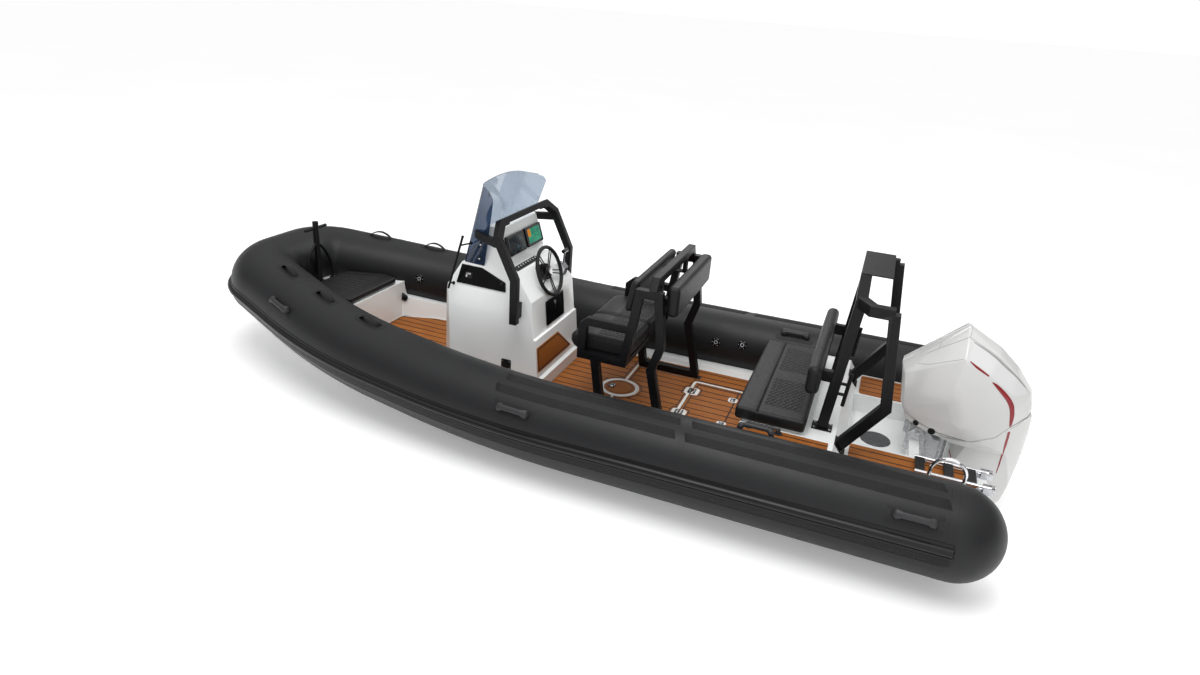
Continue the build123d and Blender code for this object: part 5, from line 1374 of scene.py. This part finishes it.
bm = bmesh.new()
rings = []
for i in range(96):
    a = 360.0 * i / 96
    ring = []
    for k in range(20):
        b = 2 * math.pi * k / 20
        grip = 14.0 + 0.7 * math.cos(math.radians(a * 30)) * max(0.0, -math.cos(b))
        ring.append(bm.verts.new(wheel_point(175.0 + grip * math.cos(b), a, grip * math.sin(b)) * MM))
    rings.append(ring)
lofted(bm, rings + rings[:1])
for turn in (90, 162, 234, 306, 18):
    for off in (-7.5, 7.5):
        pts = []
        for r in (26, 60, 110, 150, 170):
            h = -12 + 12 * (r / 170.0) ** 1.5
            spread = off * (1.0 + 0.9 * (r / 170.0))
            pts.append(wheel_point(math.hypot(r, spread), turn + math.degrees(math.atan2(spread, r)), h))
        pipe(bm, curve(pts, 5), 4.6, 10)
turned(bm, [(40, -18), (40, -4), (37, 0), (33, 3), (29, 3.5), (28, 6), (14, 8.5), (0, 9)], W_HUB, W_OUT, 40)
turned(bm, [(12, -62), (12, -17)], W_HUB, W_OUT, 24)
bm_piece("wheel", bm, "wheel", "wheel", "black_plastic", ("steering_wheel",), 40)
bm = bmesh.new()
turned(bm, [(26, 3.0), (26, 9.2), (22, 10.4), (0, 10.6)], W_HUB, W_OUT, 36)
bm_piece("wheel_cap", bm, "chrome", "wheel", "chrome", (), 40)


def sloping(foot, head):
    """Foot of a sloping face that looks aft, from (x, z) at its foot and head, its way up and its way out."""
    a, b = (Vector((x, 0, z)) for x, z in (foot, head))
    up = (b - a).normalized()
    return a, up, Vector((-up.z, 0, up.x))


# instrument displays' screens
POD, POD_UP, POD_OUT = sloping((3262, 1082), (3341, 1336))


def pod_point(y, up, out):
    return POD + POD_UP * up + Vector((0, y, 0)) + POD_OUT * out


def screen_mat(name, chart):
    """A lit screen: a chart with land, water and a corner panel, or a dark page with rows."""
    m = Mat(name, (0.01, 0.02, 0.02), 0.22, Specular_IOR_Level=0.2)
    _, y, z = m.xyz()
    if chart:
        land = m.noise(26.0, 4.0).ramp(0.46, 0.50)
        shore = m.noise(70.0, 2.0).ramp(0.49, 0.5) * m.noise(70.0, 2.0).ramp(0.53, 0.52)
        col = m.blend(land, (0.010, 0.22, 0.115), (0.012, 0.13, 0.085))
        col = m.blend(shore, col, (0.05, 0.35, 0.2))
        col = m.blend(y.ramp(-0.086, -0.082) * z.ramp(1.212, 1.216), col, (0.45, 0.16, 0.02))
    else:
        rows = (z * 60.0).fract().ramp(0.9, 0.95)
        col = m.blend(rows * 0.25, (0.006, 0.008, 0.010), (0.05, 0.07, 0.08))
        col = m.blend(m.noise(40.0, 2.0).ramp(0.6, 0.64) * 0.5, col, (0.02, 0.08, 0.09))
    m.color(col)
    m.put(m.bsdf.inputs["Emission Color"], col)
    m.bsdf.inputs["Emission Strength"].default_value = 0.5
    m.vary_rough(0.2, 0.3, 10.0)
    return m


M["chart"] = screen_mat("chart_screen", True)
M["dark_screen"] = screen_mat("dark_screen", False)
for side, name, mat, width in ((1, "port", "dark_screen", 206), (-1, "starboard", "chart", 192)):
    bm = bmesh.new()
    slab(bm, round_rect(width, 108, 5), pod_point(138 * side, 132, 24.2), POD_OUT, ACROSS, 1.6, 0, 0.5)
    bm_piece("screen_" + name, bm, mat, "boat", "black_plastic", (), 30)
    bm = bmesh.new()
    for k in range(4):
        slab(bm, round_rect(12, 4, 1.5, 3), pod_point(138 * side + (k - 1.5) * 26, 64.5, 24.5), POD_OUT, ACROSS, 1.5)
    bm_piece("screen_keys_" + name, bm, "grey", "boat", "black_plastic", (), 30)

# switch strip with rocker switches
foot, up, out = sloping((3190, 1032), (3262, 1082))
bm = bmesh.new()
for k in range(8):
    o = foot + up * 44 + Vector((0, -45 + k * 38, 0)) + out * 7.4
    slab(bm, round_rect(24, 30, 3), o, out, ACROSS, 4.5, 0, 1.5)
    slab(bm, round_rect(9, 15, 2, 3), o + up * 2, out, ACROSS, 6.4, 1, 1.0)
bm_piece("switches", bm, ["plastic", "steel"], "boat", "black_plastic", (), 35)


# footrest panel in teak on the console's lower after face
def foot_outline(inset, r):
    """Outline (y, downward from 434 mm up) of the panel, its starboard end slanted."""
    y0, y1, top, bottom = -10.0, 352.0, -100.0, 92.0
    corners = [(y1 - inset, top + inset), (y0 + inset * 0.45, top + inset),
               (y0 - 226 + inset * 2.3, bottom - inset), (y1 - inset, bottom - inset)]
    out = []
    for k, (u, v) in enumerate(corners):
        before, after = Vector(corners[k - 1]), Vector(corners[(k + 1) % 4])
        p = Vector((u, v))
        start, end = p + (before - p).normalized() * r, p + (after - p).normalized() * r
        for step in range(6):
            t = step / 5
            out.append(tuple(start * (1 - t) ** 2 + p * 2 * t * (1 - t) + end * t * t))
    return out


foot, up, out = sloping((2974, 300), (3000, 592))
o = foot + up * 134
bm = bmesh.new()
slab(bm, foot_outline(0, 14), o, out, ACROSS, 5.0, 0, 1.0)
bm_piece("footrest_mat", bm, "teak_plain", "boat", "deck_mat", (), 30)
bm = bmesh.new()
turn = basis(out, ACROSS)
lofted(bm, [[bm.verts.new((o + turn @ Vector((u, v, h))) * MM) for u, v in foot_outline(inset, 10)]
            for inset, h in ((12, 4.6), (12, 5.6), (20, 5.6), (20, 4.6))])
bm_piece("footrest_line", bm, "caulk", "boat", "deck_mat", (), 30)


# ------------------------------------------------------------------ engine

for row in (
        ("engine_cowl", "engine", "engine_white", 9.0, 4, 9.0, None, 50),
        ("engine_body", "engine", "engine_white", 5.0, 3, 25.0, None, 40),
        ("engine_bracket", "silver", "engine_metal", 4.0),
        ("engine_swivel", "silver", "engine_metal", 3.0, 2),
        ("propeller", "steel", "steel", 1.0, 2)):
    dress(*row)
keep_skin("cowl", "engine_cowl")
keep_skin("body", "engine_body")

# red flash down each side: a thin start, a gap, the full stripe, and its tail below the seam
bm = bmesh.new()
film(bm, "cowl", [(236, 195, 1026), (195, 200, 996), (151, 198, 973), (113, 196, 954)],
     [(234, 190, 1029), (184, 190, 1003), (142, 190, 981), (108, 193, 962)], 3)
film(bm, "cowl", [(88, 196, 929), (53, 187, 913), (6, 180, 878), (-37, 180, 839), (-64, 177, 798), (-78, 186, 751),
                  (-84, 184, 700), (-84, 181, 656)],
     [(91, 196, 926), (61, 194, 897), (21, 190, 859), (-17, 187, 820), (-41, 187, 783), (-55, 189, 741),
      (-64, 191, 699), (-73, 188, 656)])
film(bm, "body", [(-89, 176, 632), (-92, 174, 589), (-93, 173, 532), (-93, 173, 468), (-99, 139, 370),
                  (-101, 119, 292)],
     [(-74, 188, 630), (-77, 186, 588), (-79, 185, 534), (-83, 172, 464), (-91, 140, 375), (-97, 119, 295)], 4)
film(bm, "body", [(196, 70, 366), (182, 92, 338), (168, 108, 303)], [(186, 76, 366), (174, 97, 338), (163, 112, 303)],
     3, 14)
bm_piece("engine_stripes", bm, "red", body_of("engine_cowl"), "engine_white", (), 40)

# recessed panel behind the crown with painted shade along its upper edge; the cowl's joint lines, and grey lines of
# painted shade along its creases and under its seam
PANEL_TOP = [(232, 104, 1124), (140, 106, 1084), (40, 107, 1020), (-54, 97, 948), (-145, 64, 849)]
PANEL_LOW = [(250, 186, 1040), (180, 184, 1001), (106, 184, 958), (28, 173, 903), (-54, 160, 846)]
PANEL_EDGE = [(233, 108, 1119), (144, 115, 1080), (43, 118, 1015), (-54, 104, 943), (-140, 68, 848)]
bm = bmesh.new()
film(bm, "cowl", PANEL_EDGE, PANEL_LOW, 10, 40, 0.7, 0)
# a band of painted shade along the recess's upper edge
film(bm, "cowl", PANEL_TOP, PANEL_EDGE, 3, 40, 1.1, 1)
bm_piece("engine_panel_and_painted_shade", bm, ["glaze", "seam_grey"], body_of("engine_cowl"), "engine_white", (), 40)
bm = bmesh.new()
# grey lines along the cowl's creases and ridges: painted shade
for points in ([(500, 67, 946), (378, 95, 1054), (257, 97, 1141)], [(257, 97, 1141), (254, 50, 1165), (252, 4, 1186)],
               [(257, 97, 1141), (133, 100, 1081), (1, 100, 993), (-153, 65, 846)],
               [(500, -31, 949), (378, -21, 1068), (262, -3, 1183)], [(404, 38, 1060), (404, 82, 1036)],
               [(498, 120, 915), (439, 154, 943), (338, 176, 996), (270, 192, 1031)]):
    edge_line(bm, "cowl", points, 3.2, 0.7, 30)
# the seam between cowl and lower body: dark joint lines
for points in ([(440, 205, 592), (354, 216, 560), (235, 223, 545), (60, 213, 532)],
               [(-85, 179, 642), (-131, 145, 679), (-165, 112, 727)]):
    edge_line(bm, "body", points, 3.2, 0.7, 30)
# a grey wedge under the seam's lip: painted shadow
film(bm, "body", [(322, 218, 541), (264, 221, 531), (192, 220, 520), (126, 220, 519)],
     [(318, 217, 529), (255, 205, 505), (194, 205, 499), (126, 214, 513)], 3, 24)
bm_piece("engine_joints_and_painted_shade", bm, "seam_grey", body_of("engine_cowl"), "engine_white", (), 40)
bm = bmesh.new()
for side in SIDES:
    for x, y, z, r in ((434, 200, 556, 18), (337, 216, 530, 22)):
        q, nrm = snapped("body", Vector((x, y * side, z)))
        turned(bm, [(r, -2), (r, 2.5), (r - 2, 4.0), (r - 5, 4.2), (r - 6, 2.6), (0, 2.6)], q, nrm, 28)
bm_piece("engine_plugs", bm, "plastic", body_of("engine_body"), "black_plastic", (), 30)


# ------------------------------------------------------------------ stage, light and camera

floor = bpy.data.meshes.new("floor")
floor.from_pydata([(-900, -900, 0), (900, -900, 0), (900, 900, 0), (-900, 900, 0)], [], [(0, 1, 2, 3)])
stage = bpy.data.objects.new("floor", floor)
bpy.context.scene.collection.objects.link(stage)
paper = Mat("studio_floor", (0.93, 0.93, 0.93), 0.9, Emission_Color=(1, 1, 1, 1), Emission_Strength=0.22)
paper.shade(0.01, 0.3)
floor.materials.append(paper.m)

world = bpy.data.worlds.new("studio")
bpy.context.scene.world = world
world.use_nodes = True
sky = world.node_tree
back = sky.nodes["Background"]
way = sky.nodes.new("ShaderNodeTexCoord")
axes = sky.nodes.new("ShaderNodeSeparateXYZ")
ramp = sky.nodes.new("ShaderNodeValToRGB")
sky.links.new(way.outputs["Generated"], axes.inputs[0])
sky.links.new(axes.outputs["Z"], ramp.inputs["Fac"])
sky.links.new(ramp.outputs["Color"], back.inputs["Color"])
stops = ramp.color_ramp.elements
stops[0].position, stops[1].position = 0.0, 1.0
stops[0].color, stops[1].color = (0.77, 0.77, 0.77, 1), (1, 1, 1, 1)
for where, grey in ((0.085, 0.77), (0.105, 0.17), (0.40, 0.26), (0.75, 0.75)):
    stops.new(where).color = (grey, grey, grey, 1)
back.inputs["Strength"].default_value = 1.3


def area(name, loc, size, power):
    """A round soft light that faces the boat's middle."""
    light = bpy.data.lights.new(name, "AREA")
    light.shape, light.size, light.energy = "DISK", size, power
    obj = bpy.data.objects.new(name, light)
    bpy.context.scene.collection.objects.link(obj)
    obj.location = loc
    obj.rotation_euler = (Vector((2.7, 0, 0.4)) - Vector(loc)).to_track_quat("-Z", "Y").to_euler()


area("key", (2.4, 3.2, 8.5), 5.0, 330)
area("fill", (-1.0, 7.5, 3.0), 5.0, 70)
area("rim", (3.0, -6.0, 5.0), 4.0, 90)
bpy.context.scene.view_settings.view_transform = "Standard"

cam = bpy.data.cameras.new("camera")
cam.lens, cam.sensor_width = 22.55, 36.0
cam.clip_start, cam.clip_end = 0.05, 3000.0
eye = bpy.data.objects.new("camera", cam)
bpy.context.scene.collection.objects.link(eye)
pos, look, roll = Vector((0.912, 4.796, 2.794)), Vector((2.646, 0, 0.564)), 0.075
fwd = (look - pos).normalized()
right = fwd.cross(Vector(UPWARD)).normalized()
up = right.cross(fwd)
right, up = right * math.cos(roll) + up * math.sin(roll), up * math.cos(roll) - right * math.sin(roll)
eye.matrix_world = Matrix.Translation(pos) @ Matrix((right, up, -fwd)).transposed().to_4x4()
bpy.context.scene.camera = eye
